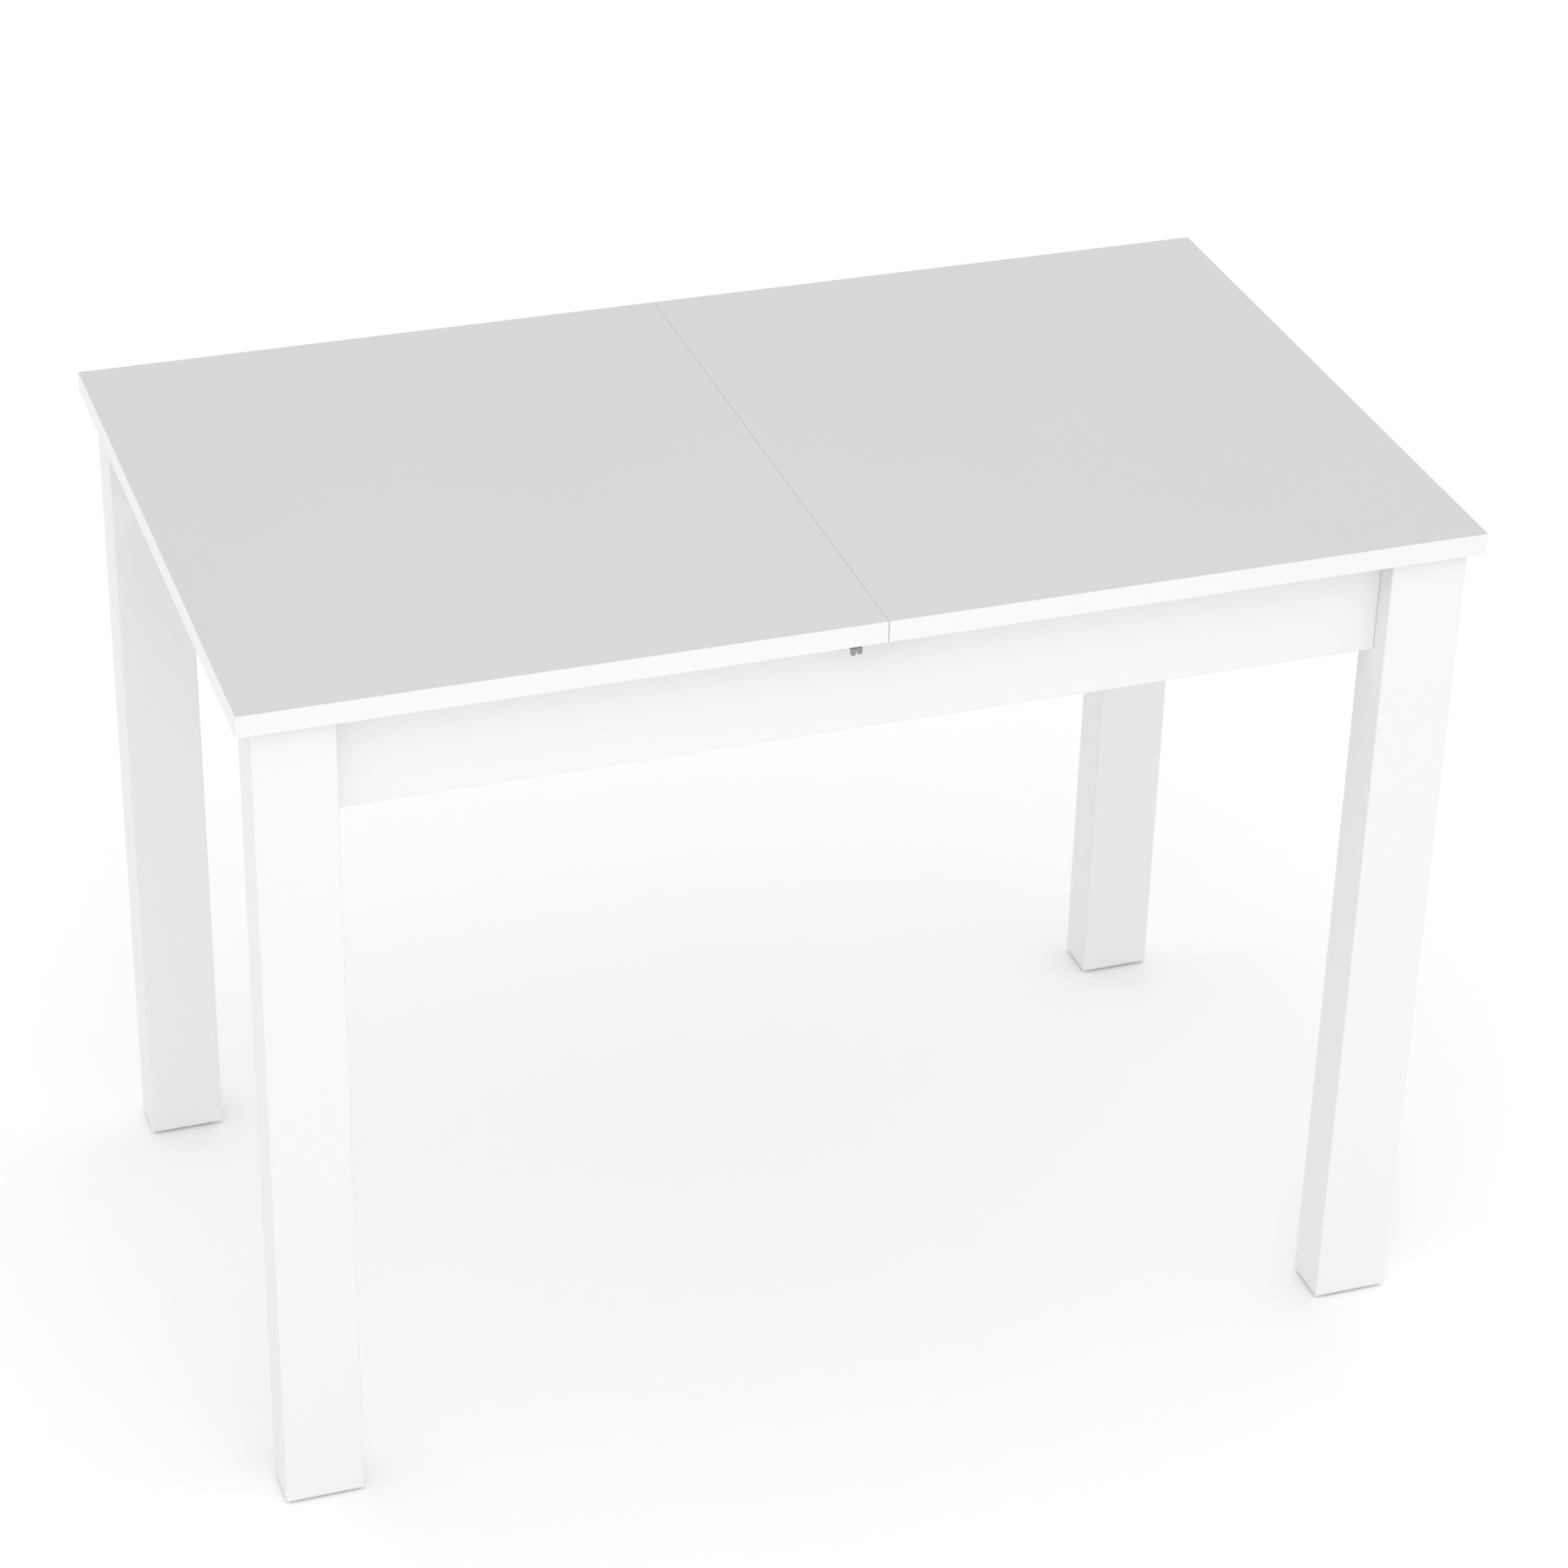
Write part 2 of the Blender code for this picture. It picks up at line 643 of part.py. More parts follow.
def make_lever(name, y_sign, swing):
    """A flat bar with a hook notch open to the table's edge, a pivot hole and a bent-down thumb tab."""
    notch = CATCH_STUD_RADIUS + NOTCH_GAP
    tail, tab = -CATCH_TAIL, -CATCH_TAIL + CATCH_TAB_WIDTH
    front, back, ear = CATCH_BAR_FRONT, -CATCH_BAR_BACK, CATCH_EAR
    slot_low, slot_high = CATCH_PIVOT_TO_STUD - notch, CATCH_PIVOT_TO_STUD + notch
    corners = [
        (tail, ear, 0),
        (tab, ear, 0),
        (tab, front, CATCH_CORNER_ROUND),
        (slot_low, front, CATCH_MOUTH_ROUND),
        (slot_low, -notch, notch),
        (slot_high, -notch, notch),
        (slot_high, front, CATCH_MOUTH_ROUND),
        (CATCH_TIP, front, CATCH_CORNER_ROUND),
        (CATCH_TIP, back, CATCH_BAR_ROUND),
        (tail, back, CATCH_HEEL_ROUND),
    ]
    outline = [(x, y_sign * y) for x, y in rounded(corners)]
    lever = plate(name, outline, CATCH_BAR_BOTTOM, CATCH_BAR_TOP, DARK_STEEL, parent=swing)
    y_low, y_high = sorted((y_sign * (ear - CATCH_TAB_THICKNESS), y_sign * ear))
    drop = CATCH_BAR_BOTTOM - CATCH_TAB_DROP + CATCH_BAR_THICKNESS
    low, high = Vector((tail, y_low, drop)), Vector((tab, y_high, CATCH_BAR_TOP))
    tab_mesh = cube_mesh(f"{name}_tab", high - low)
    tab_piece = place(f"{name}_tab", tab_mesh, DARK_STEEL, (low + high) / 2, parent=swing)
    combine(lever, tab_piece, "UNION")
    hole = CATCH_STUD_RADIUS + PIVOT_GAP
    drill(lever, f"{name}_hole", hole, CATCH_HEAD_BOTTOM, UNDERSIDE, parent=swing)


def make_catch(side, y_sign, left_slide, right_slide):
    """The lever turns on the left half. It rests swung clear of the stud, which hangs on the right half."""
    at = (-CATCH_PIVOT_TO_SEAM, y_sign * CATCH_PIVOT_Y, 0)
    swing = pivot(f"catch_{side}_swing", at, (0, 0, -y_sign * CATCH_SWING), left_slide)
    make_lever(f"catch_lever_{side}", y_sign, swing)
    near, far = CATCH_PLATE_TO_SEAM, CATCH_PLATE_TO_SEAM + CATCH_PLATE_LENGTH
    base = catch_plate(f"catch_base_{side}", -far, -near, y_sign, left_slide)
    hole = CATCH_STUD_RADIUS + PIVOT_GAP
    drill(base, f"catch_base_{side}_hole", hole, CATCH_HEAD_BOTTOM, UNDERSIDE, at, parent=left_slide)
    rivet_top = UNDERSIDE - 2 * FIT
    turned(f"catch_rivet_{side}", headed_stud(rivet_top), DARK_STEEL, at, parent=left_slide)
    keeper = catch_plate(f"catch_keeper_{side}", near, far, y_sign, right_slide)
    stud_at = (CATCH_PIVOT_TO_STUD - CATCH_PIVOT_TO_SEAM, y_sign * CATCH_PIVOT_Y, 0)
    stud_top = CATCH_PLATE_BOTTOM + CATCH_PLATE_THICKNESS / 2
    stud = turned(f"catch_stud_{side}", headed_stud(stud_top), DARK_STEEL, stud_at, parent=right_slide)
    combine(keeper, stud, "UNION")


for old in list(bpy.data.objects):
    bpy.data.objects.remove(old, do_unlink=True)

TABLE = new_collection("extending_dining_table")
CUTTERS = new_collection("cutters")

WHITE_TOP = new_material("white_top_laminate", (0.68, 0.68, 0.68), 0.42)
WHITE_FRAME = new_material("white_frame_laminate", (0.87, 0.87, 0.86), 0.45)
BEECH = new_material("beech", (0.62, 0.43, 0.26), 0.60)
ZINC = new_material("zinc_plated_steel", (0.66, 0.67, 0.68), 0.35, 1.0)
DARK_STEEL = new_material("dark_steel", (0.20, 0.20, 0.21), 0.42, 1.0)
GLIDE_PLASTIC = new_material("glide_plastic", (0.80, 0.80, 0.79), 0.50)
RUBBER = new_material("rubber", (0.05, 0.05, 0.05), 0.80)
CUTTER = new_material("cutter", (0.80, 0.20, 0.10), 0.50)

LEFT_SLIDE = pivot("top_left_slide")
RIGHT_SLIDE = pivot("top_right_slide")
LEAF_PIVOT = pivot(
    "insert_leaf_place", (0, 0, LEAF_BOTTOM + BOARD_THICKNESS / 2), (0, 0, math.radians(90))
)

make_corner_joints(make_legs(), make_aprons())
make_leaf_battens()
make_guide_rails()
make_buffers()
make_top_half("left", LEFT_SLIDE)
make_top_half("right", RIGHT_SLIDE)
make_leaf()
for catch_side, catch_sign in SIDES.items():
    make_catch(catch_side, catch_sign, LEFT_SLIDE, RIGHT_SLIDE)

for piece in TABLE.objects:
    if piece.type == "MESH" and piece.data.polygons:
        piece.data.shade_smooth()
        piece.data.set_sharp_from_angle(angle=math.radians(30))
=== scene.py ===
"""Looks of the extending dining table: fine boards, legs, sliding gear, hardware and finishes.

Metres, +Z up, the front edge faces -Y. Places come from the frame's own pieces. Every shape is a grid of
points worked out by a formula: an outline carried up a profile, or a profile turned about an axis.
"""

import math

import bmesh
import bpy
import mathutils
import numpy as np
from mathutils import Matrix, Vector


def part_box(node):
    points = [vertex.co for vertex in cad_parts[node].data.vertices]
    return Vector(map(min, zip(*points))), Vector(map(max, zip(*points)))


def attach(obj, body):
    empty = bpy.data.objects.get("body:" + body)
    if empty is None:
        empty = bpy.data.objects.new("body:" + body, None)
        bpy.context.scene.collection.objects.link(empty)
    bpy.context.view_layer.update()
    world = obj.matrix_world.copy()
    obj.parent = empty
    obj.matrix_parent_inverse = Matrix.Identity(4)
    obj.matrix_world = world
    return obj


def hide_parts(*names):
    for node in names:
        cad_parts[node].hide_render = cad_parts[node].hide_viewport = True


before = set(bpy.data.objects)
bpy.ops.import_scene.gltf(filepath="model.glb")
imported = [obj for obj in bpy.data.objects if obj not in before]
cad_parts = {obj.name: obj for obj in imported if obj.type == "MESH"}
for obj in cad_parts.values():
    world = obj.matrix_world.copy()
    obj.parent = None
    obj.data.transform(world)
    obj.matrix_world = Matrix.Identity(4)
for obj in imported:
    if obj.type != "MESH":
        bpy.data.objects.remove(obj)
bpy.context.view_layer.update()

ENDS = {"left": -1, "right": 1}
SIDES = {"front": -1, "back": 1}
CORNERS = [
    (f"{side}_{end}", x_sign, y_sign) for end, x_sign in ENDS.items() for side, y_sign in SIDES.items()
]

# Laminated boards
BAND_THICKNESS = 0.0006
BAND_ROUND = 0.0004
BOARD_CORNER = 0.0008
JOINT_WIDTH = 0.00025
JOINT_DEPTH = 0.00015
JOINT_LIP = 0.00002
LEG_ROUND = 0.0015
APRON_ROUND = 0.0010
CUT_END_ROUND = 0.0004
SEAM_CLOSING = 0.0002

# Pins and bores
PIN_NUMBERS = (1, 2, 3)
PIN_RADIUS = 0.0040
PIN_POINT = 0.0010
FLUTE_COUNT = 22
FLUTE_DEPTH = 0.00025
HOLE_RADIUS = 0.0043
SOCKET_DEPTH = 0.0110
PIN_HOLE_DEPTH = 0.0153
BORE_LEAD = 0.0100

# Beech sticks and rubber buffers
STICK_ROUND = 0.0008
GROOVE_HEIGHT = 0.0100
GROOVE_DEPTH = 0.0070
TONGUE_GAP = 0.0004
TONGUE_LENGTH = 0.0070
BATTEN_SCREW_INSET = 0.0120
RUNNER_SCREW_START = 0.0350
RUNNER_SCREW_END = 0.0250
BUFFER_HOLE = 0.0030
BUFFER_ROUND = 0.0018
BUFFER_LIP = 0.0010
BUFFER_RING = 0.0005
BUFFER_SCREW_STAND = 0.0016

# Corner joints
LEG_GAP = 0.0003
BLOCK_DEPTH = 0.0400
BLOCK_SCREW_SPREAD = 0.0270
BLOCK_SINK = 0.0060
BLOCK_HEAD_DEPTH = 0.0030
BOLT_RADIUS = 0.0040
BOLT_CHAMFER = 0.0008
BOLT_POINT = 0.0006
WOOD_THREAD_END = -0.0040
WOOD_THREAD_TAPER = 0.0090
SHANK_END = 0.0120
THREAD_RUNOUT = 0.0010
MACHINE_PITCH = 0.00125
WOOD_PITCH = 0.0030
THREAD_DEPTH = 0.00062
WOOD_THREAD_DEPTH = 0.0011
THREAD_STEPS = 6
WOOD_THREAD_STEPS = 8
WASHER_RADIUS = 0.0100
NUT_HUB = 0.0068
NUT_HEIGHT = 0.0080
NUT_VOXEL = 0.00035
WING_ROOT = 0.0050
WING_TIP = 0.0150
WING_RISE = 0.0060
WING_HALF = 0.0011

# Foot glides
GLIDE_ROUND = 0.0009
GLIDE_DISH = [(0, 0.0011), (0.0034, 0.0011), (0.0046, 0.0002), (0.0052, 0)]
NAIL_RADIUS = 0.0028
NAIL_LEVEL = 0.0010
NAIL_DOME = 0.25

# Screws
SCREW_RADIUS = 0.0038
BUFFER_SCREW_RADIUS = 0.0024
SMALL_SCREW_RADIUS = 0.0016
SCREW_SINK = 0.0003
SCREW_DEPTH = 0.0034
SCREW_STAND = 0.0032
SCREW_GAP = 0.0002
COUNTERBORE = 0.0045
COUNTERBORE_DEPTH = 0.0100
FIRST_TURN = 0.5
TURN_STEP = 0.9

# A screw's head, in shares of its radius
HEAD_SIDE = [(0, -0.9), (0.45, -0.9), (0.97, -0.22), (1.0, -0.12)]
HEAD_DOME = 0.06
CROSS_HALF = 0.17
CROSS_REACH = 0.62
CROSS_DEPTH = 0.42
CROSS_SIDE_SLOPE = 0.05
CROSS_END_SLOPE = 0.08

# Catches
CATCH_SWING = math.radians(10.0)
CATCH_TAIL = 0.0180
TAB_WIDTH = 0.0100
TAB_ROOM = 0.0006
TAB_START = 0.0075
ARM_END = 0.0030
TAB_BEND = 0.0018
TAB_LIFT = 0.0013
JOIN_STEP = 0.00005
TAB_SLIT = 0.0014
SLIT_HEIGHT = 0.0034
FINGER_ROUND = 0.0022
PAD_HALF = 0.0014
PAD_CORNER = 0.0012
PAD_ROOT = 0.0012
PAD_RISE = 0.0005
BAR_FRONT = 0.0020
BAR_BACK = 0.0050
PIVOT_TO_STUD = 0.0280
STUD_RADIUS = 0.0020
NOTCH_RADIUS = 0.0025
BAR_TIP = 0.0333
BAR_THICKNESS = 0.0020
EDGE_INSET = 0.0020
STUD_NECK = 0.0026
STUD_ROOT = 0.0005
HEAD_RADIUS = 0.0035
HEAD_HEIGHT = 0.0013
HEAD_RIM = 0.0002
PLATE_CORNER = 0.0020
PLATE_SINK = 0.0020
PLATE_LEAD = 0.0010
BASE_SCREWS = (0.0035, 0.0105)
KEEPER_SCREWS = (0.0040, 0.0035)
STEEL_GAP = 0.0001
STEEL_EASING = 0.0003

ARC_STEPS = 8
SHARP_ANGLE = math.radians(28)


# ---- Shapes ----


def outline(corners, steps=ARC_STEPS):
    """Points and outward normals of a closed anticlockwise outline, whose corners are (x, y, radius).

    At each corner the normal turns evenly from one side's to the next, and the point runs round an arc
    tangent to both: its centre lies one radius inside the outline, or outside it where it turns back.
    """
    places = np.array([corner[:2] for corner in corners], float)
    radii = np.array([corner[2] for corner in corners], float)[:, None]
    ways = np.roll(places, -1, axis=0) - places
    ways /= np.linalg.norm(ways, axis=1, keepdims=True)
    before = np.roll(ways, 1, axis=0)
    turn = np.arctan2(before[:, 0] * ways[:, 1] - before[:, 1] * ways[:, 0], (before * ways).sum(axis=1))
    first = np.arctan2(-before[:, 0], before[:, 1])
    angles = first[:, None] + turn[:, None] * np.linspace(0, 1, steps)
    normals = np.stack([np.cos(angles), np.sin(angles)], axis=-1)
    hand = np.sign(turn)[:, None]
    starts = places - before * radii * np.tan(np.abs(turn) / 2)[:, None]
    centres = starts - hand * radii * normals[:, 0]
    points = centres[:, None] + (hand * radii)[:, None] * normals
    return points.reshape(-1, 2), normals.reshape(-1, 2)


def rectangle(low, high, radius):
    """Corners of an upright rectangle, for outline()."""
    (x0, y0), (x1, y1) = low, high
    return [(x0, y0, radius), (x1, y0, radius), (x1, y1, radius), (x0, y1, radius)]


def quarter(centre, radius, first, last, steps=5):
    """(offset, height) points along an arc, between two angles in degrees."""
    angles = np.radians(np.linspace(first, last, steps))
    return np.stack([centre[0] + radius * np.cos(angles), centre[1] + radius * np.sin(angles)], axis=-1)


def eased(low, high, radius):
    """A profile of (offset, height) up a side: a quarter circle, a straight side and a quarter circle."""
    bottom = quarter((-radius, low + radius), radius, -90, 0)
    return np.concatenate([bottom, quarter((-radius, high - radius), radius, 0, 90)])


def banded(low, high, radius, band):
    """An eased side with a hairline V joint, one band's thickness in, on both faces; and its finishes."""
    side = eased(low, high, radius)
    half = JOINT_WIDTH / 2
    joint = np.array([(-band - half, 0.0), (-band, JOINT_DEPTH), (-band + half, 0.0)])
    under = joint + (0.0, low)
    over = (joint * (1, -1) + (0.0, high))[::-1]
    paints = np.array([0] + [1] * (len(side) + 3) + [0])
    return np.concatenate([under, side, over]), paints


def skin(grid, paints=0, ring=False, capped=False):
    """Quads over grid[row, column], whose last column joins the first; ring joins the rows the same way.

    paints is a finish number for all, or one for each row of quads, or one for each quad. capped closes
    the first and last rows with flat faces in finish 0.
    """
    rows, columns = grid.shape[:2]
    index = np.arange(rows * columns).reshape(rows, columns)
    loops = np.vstack([index, index[:1]]) if ring else index
    loops = np.hstack([loops, loops[:, :1]])
    quads = np.stack([loops[:-1, :-1], loops[:-1, 1:], loops[1:, 1:], loops[1:, :-1]], axis=-1)
    paints = np.asarray(paints)
    paint = np.broadcast_to(paints if paints.ndim == 2 else paints.reshape(-1, 1), quads.shape[:2]).ravel()
    caps = [index[0][::-1], index[-1]] if capped else []
    return {"points": grid.reshape(-1, 3), "quads": quads.reshape(-1, 4), "paints": paint, "caps": caps}


def carried(shape, profile, paints=0, order="xyz"):
    """An outline carried up a profile: each row is the outline moved out by the profile's offset.

    order names the axes that the outline's two directions and the profile's height run along.
    """
    points, normals = shape
    offsets, heights = profile[:, 0, None, None], profile[:, 1, None]
    flat = points[None] + normals[None] * offsets
    height = np.broadcast_to(heights, flat.shape[:2])
    grid = np.empty((*flat.shape[:2], 3))
    for value, axis in zip((flat[..., 0], flat[..., 1], height), order):
        grid[..., "xyz".index(axis)] = value
    return skin(grid, paints, capped=True)


def turned(profile, columns=48, ring=False, change=None):
    """A profile of (radius, height) turned about Z. change(radius, height, angle) may move the points."""
    profile = np.array(profile, float)
    angles = np.linspace(0, 2 * math.pi, columns, endpoint=False)[None]
    radius = np.repeat(profile[:, :1], columns, axis=1)
    height = np.repeat(profile[:, 1:], columns, axis=1)
    if change:
        radius, height = change(radius, height, angles)
    grid = np.stack([radius * np.cos(angles), radius * np.sin(angles), height], axis=-1)
    return skin(grid, ring=ring)


def moved(one, origin, across=(1, 0, 0), up=(0, 1, 0), along=(0, 0, 1)):
    """The skin with its X, Y and Z laid along three directions from an origin."""
    axes = np.array([across, up, along], float)
    return {**one, "points": one["points"] @ axes + np.array(origin, float)}


def directions(along):
    """Two directions square to a third, as moved() takes them."""
    along = np.array(along, float) / np.linalg.norm(along)
    helper = np.array((0, 0, 1) if abs(along[2]) < 0.9 else (1, 0, 0), float)
    across = np.cross(helper, along)
    across /= np.linalg.norm(across)
    return {"across": across, "up": np.cross(along, across), "along": along}


def mesh_of(name, skins, finishes):
    """One mesh from several skins, with its doubles merged and its faces pointing out."""
    starts = np.cumsum([0] + [len(one["points"]) for one in skins])
    faces, paints = [], []
    for start, one in zip(starts, skins):
        faces += (one["quads"] + start).tolist()
        faces += [(face + start).tolist() for face in one["caps"]]
        paints += one["paints"].tolist() + [0] * len(one["caps"])
    mesh = bpy.data.meshes.new(name)
    mesh.from_pydata(np.concatenate([one["points"] for one in skins]).tolist(), [], faces)
    mesh.polygons.foreach_set("material_index", paints)
    for finish in finishes:
        mesh.materials.append(finish)
    shape = bmesh.new()
    shape.from_mesh(mesh)
    bmesh.ops.remove_doubles(shape, verts=shape.verts, dist=0.0000005)
    bmesh.ops.recalc_face_normals(shape, faces=shape.faces)
    shape.to_mesh(mesh)
    shape.free()
    return mesh


def changed_by(obj, name, kind, **settings):
    """Applies one modifier to a mesh object."""
    modifier = obj.modifiers.new(name, kind)
    for key, value in settings.items():
        setattr(modifier, key, value)
    graph = bpy.context.evaluated_depsgraph_get()
    mesh = bpy.data.meshes.new_from_object(obj.evaluated_get(graph))
    obj.modifiers.remove(modifier)
    obj.data = mesh


def cut_or_join(obj, skins, finish, **settings):
    """Cuts shapes out of a mesh object, or joins them to it."""
    tool = bpy.data.objects.new("tool", mesh_of("tool", skins, [finish]))
    bpy.context.scene.collection.objects.link(tool)
    changed_by(obj, "tool", "BOOLEAN", object=tool, **settings)
    bpy.data.objects.remove(tool)


def piece(name, skins, finishes, body, slot, stands_for=(), holes=(), hole_finish=None, joined=(), cast=0):
    """A finished piece of the table. holes are cut out of it, joined is fused to it, cast rounds it all."""
    obj = bpy.data.objects.new(name, mesh_of(name, skins, finishes))
    bpy.context.scene.collection.objects.link(obj)
    for one in joined:
        cut_or_join(obj, [one], finishes[0], operation="UNION", solver="MANIFOLD")
    if holes:
        finish = hole_finish or finishes[0]
        cut_or_join(obj, holes, finish, operation="DIFFERENCE", material_mode="TRANSFER")
    if cast:
        changed_by(obj, "casting", "REMESH", mode="VOXEL", voxel_size=cast)
        changed_by(obj, "fillets", "SMOOTH", factor=0.5, iterations=4)
        obj.data.materials.clear()
        obj.data.materials.append(finishes[0])
    obj.data.shade_smooth()
    if not cast:
        obj.data.set_sharp_from_angle(angle=SHARP_ANGLE)
        changed_by(obj, "flat faces", "WEIGHTED_NORMAL", keep_sharp=True)
    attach(obj, body)
    if stands_for:
        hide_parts(*stands_for)
    return obj


def reach(node, origin, direction):
    """How far along a direction a node begins and ends, measured from an origin."""
    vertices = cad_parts[node].data.vertices
    points = np.empty(len(vertices) * 3, np.float32)
    vertices.foreach_get("co", points)
    along = (points.reshape(-1, 3) - np.array(origin)) @ np.array(direction, float)
    return float(along.min()), float(along.max())


def corners_of(node):
    """The low and high corners of a node's box."""
    low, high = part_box(node)
    return np.array(low), np.array(high)


# ---- Finishes ----


def add(tree, kind, **values):
    """A shader node. A value is a socket's number or colour, or another node's output to link.

    A name that starts with set_ is a setting, in0 or in1 is a socket by its number, and any other is a
    socket by its name, with _ for a space.
    """
    made = tree.nodes.new("ShaderNode" + kind)
    for key, value in values.items():
        if key.startswith("set_"):
            setattr(made, key[4:], value)
            continue
        socket = made.inputs[int(key[2:])] if key[2:].isdigit() else made.inputs[key.replace("_", " ")]
        if isinstance(value, bpy.types.NodeSocket):
            tree.links.new(value, socket)
        else:
            socket.default_value = value
    return made


def new_group(name, numbers, colours, gives):
    """A node group. It takes a vector, named numbers and named colours, and gives named sockets."""
    group = bpy.data.node_groups.new(name, "ShaderNodeTree")
    group.interface.new_socket("Vector", in_out="INPUT", socket_type="NodeSocketVector")
    for label in numbers:
        group.interface.new_socket(label, in_out="INPUT", socket_type="NodeSocketFloat")
    for label in colours:
        group.interface.new_socket(label, in_out="INPUT", socket_type="NodeSocketColor")
    for label in gives:
        kind = "NodeSocketColor" if label == "Colour" else "NodeSocketFloat"
        group.interface.new_socket(label, in_out="OUTPUT", socket_type=kind)
    taken = group.nodes.new("NodeGroupInput").outputs
    return group, taken, group.nodes.new("NodeGroupOutput").inputs


def give(group, socket, output):
    """Feeds one of the sockets that a group gives."""
    group.links.new(output, socket)


def spread(tree, value, taken):
    """A value from 0 to 1, laid between a group's two roughness sockets."""
    low, high = taken["Least Roughness"], taken["Most Roughness"]
    return add(tree, "MapRange", Value=value, To_Min=low, To_Max=high).outputs["Result"]


def sharpened(tree, value, start, end, first=0.0, last=1.0):
    """A value that runs from first to last while the texture's value runs from start to end."""
    ends = {"From_Min": start, "From_Max": end, "To_Min": first, "To_Max": last}
    return add(tree, "MapRange", Value=value, **ends).outputs["Result"]


def product(tree, first, second):
    return add(tree, "Math", set_operation="MULTIPLY", in0=first, in1=second).outputs[0]


def mixed(tree, share, first, second, blend="MIX"):
    made = add(tree, "MixRGB", set_blend_type=blend, Fac=share, Color1=first, Color2=second)
    return made.outputs["Color"]


def mottle_group():
    """Soft clouds between two colours, with fine spots in the gloss and the height."""
    numbers = ["Cloud Scale", "Spot Scale", "Least Roughness", "Most Roughness"]
    gives = ["Colour", "Roughness", "Height"]
    group, taken, given = new_group("mottle", numbers, ["Colour", "Tint"], gives)
    clouds = add(group, "TexNoise", Vector=taken["Vector"], Scale=taken["Cloud Scale"], Detail=4.0)
    spots = add(group, "TexNoise", Vector=taken["Vector"], Scale=taken["Spot Scale"], Detail=2.0)
    both = add(group, "Math", set_operation="ADD", in0=clouds.outputs["Fac"], in1=spots.outputs["Fac"])
    give(group, given["Colour"], mixed(group, clouds.outputs["Fac"], taken["Colour"], taken["Tint"]))
    give(group, given["Roughness"], spread(group, product(group, both.outputs[0], 0.5), taken))
    give(group, given["Height"], spots.outputs["Fac"])
    return group


def grain_group():
    """Wood whose fibres run along the vector's Z: rings, fibres and short dark flecks."""
    numbers = ["Least Roughness", "Most Roughness"]
    colours = ["Early Wood", "Late Wood", "Fleck"]
    group, taken, given = new_group("grain", numbers, colours, ["Colour", "Roughness", "Height"])
    long_way = add(group, "Mapping", Vector=taken["Vector"], Scale=(1.0, 1.0, 0.06)).outputs["Vector"]
    rings = add(
        group,
        "TexWave",
        set_wave_type="RINGS",
        set_rings_direction="Z",
        Vector=long_way,
        Scale=34.0,
        Distortion=5.0,
        Detail=3.0,
        Detail_Scale=1.6,
    )
    fibres = add(group, "TexNoise", Vector=long_way, Scale=620.0, Detail=4.0, Roughness=0.65)
    fleck_way = add(group, "Mapping", Vector=taken["Vector"], Scale=(1.0, 1.0, 0.16)).outputs["Vector"]
    flecks = add(group, "TexVoronoi", Vector=fleck_way, Scale=1150.0, Randomness=1.0)
    fleck = sharpened(group, flecks.outputs["Distance"], 0.16, 0.30, 0.6, 0.0)
    ringed = mixed(group, rings.outputs["Fac"], taken["Early Wood"], taken["Late Wood"])
    fibred = mixed(group, 0.55, ringed, fibres.outputs["Fac"], "SOFT_LIGHT")
    give(group, given["Colour"], mixed(group, fleck, fibred, taken["Fleck"]))
    give(group, given["Roughness"], spread(group, fibres.outputs["Fac"], taken))
    give(group, given["Height"], fibres.outputs["Fac"])
    return group


def scratch_group():
    """Fine rub marks: noise drawn out along the vector's X, kept where a second noise allows it."""
    numbers = ["Scale", "Coverage"]
    group, taken, given = new_group("scratches", numbers, [], ["Mask"])
    drawn = add(group, "Mapping", Vector=taken["Vector"], Scale=(0.05, 1.0, 1.0)).outputs["Vector"]
    lines = add(group, "TexNoise", Vector=drawn, Scale=taken["Scale"], Detail=3.0)
    patches = add(group, "TexNoise", Vector=taken["Vector"], Scale=60.0, Detail=2.0)
    sharp = sharpened(group, lines.outputs["Fac"], 0.52, 0.60)
    kept = sharpened(group, patches.outputs["Fac"], 0.45, 0.62)
    give(group, given["Mask"], product(group, product(group, sharp, kept), taken["Coverage"]))
    return group


MOTTLE = mottle_group()
GRAIN = grain_group()
SCRATCHES = scratch_group()


def new_finish(name, **constants):
    """A material with its shader's constants set, and the piece's own coordinates."""
    material = bpy.data.materials.new(name)
    material.use_nodes = True
    tree = material.node_tree
    shader = tree.nodes["Principled BSDF"]
    for label, value in constants.items():
        shader.inputs[label.replace("_", " ")].default_value = value
    return material, tree, shader, add(tree, "TexCoord").outputs["Object"]


def connect(tree, shader, group, colour, strength, distance):
    """A colour, and a group's gloss and height, fed to the shader."""
    tree.links.new(colour, shader.inputs["Base Color"])
    tree.links.new(group.outputs["Roughness"], shader.inputs["Roughness"])
    bump = add(tree, "Bump", Strength=strength, Distance=distance, Height=group.outputs["Height"])
    tree.links.new(bump.outputs["Normal"], shader.inputs["Normal"])


def grey(value, warmth=0.0):
    """A grey whose red is raised and whose blue is lowered by a share."""
    return (value * (1 + warmth), value, value * (1 - warmth), 1.0)


def mottle(tree, place, colour, tint, clouds, spots, rough):
    """The mottle group: two colours, scales of clouds and spots per metre, and (least, most) roughness."""
    return add(
        tree,
        "Group",
        set_node_tree=MOTTLE,
        Vector=place,
        Cloud_Scale=clouds,
        Spot_Scale=spots,
        Least_Roughness=rough[0],
        Most_Roughness=rough[1],
        Colour=colour,
        Tint=tint,
    )


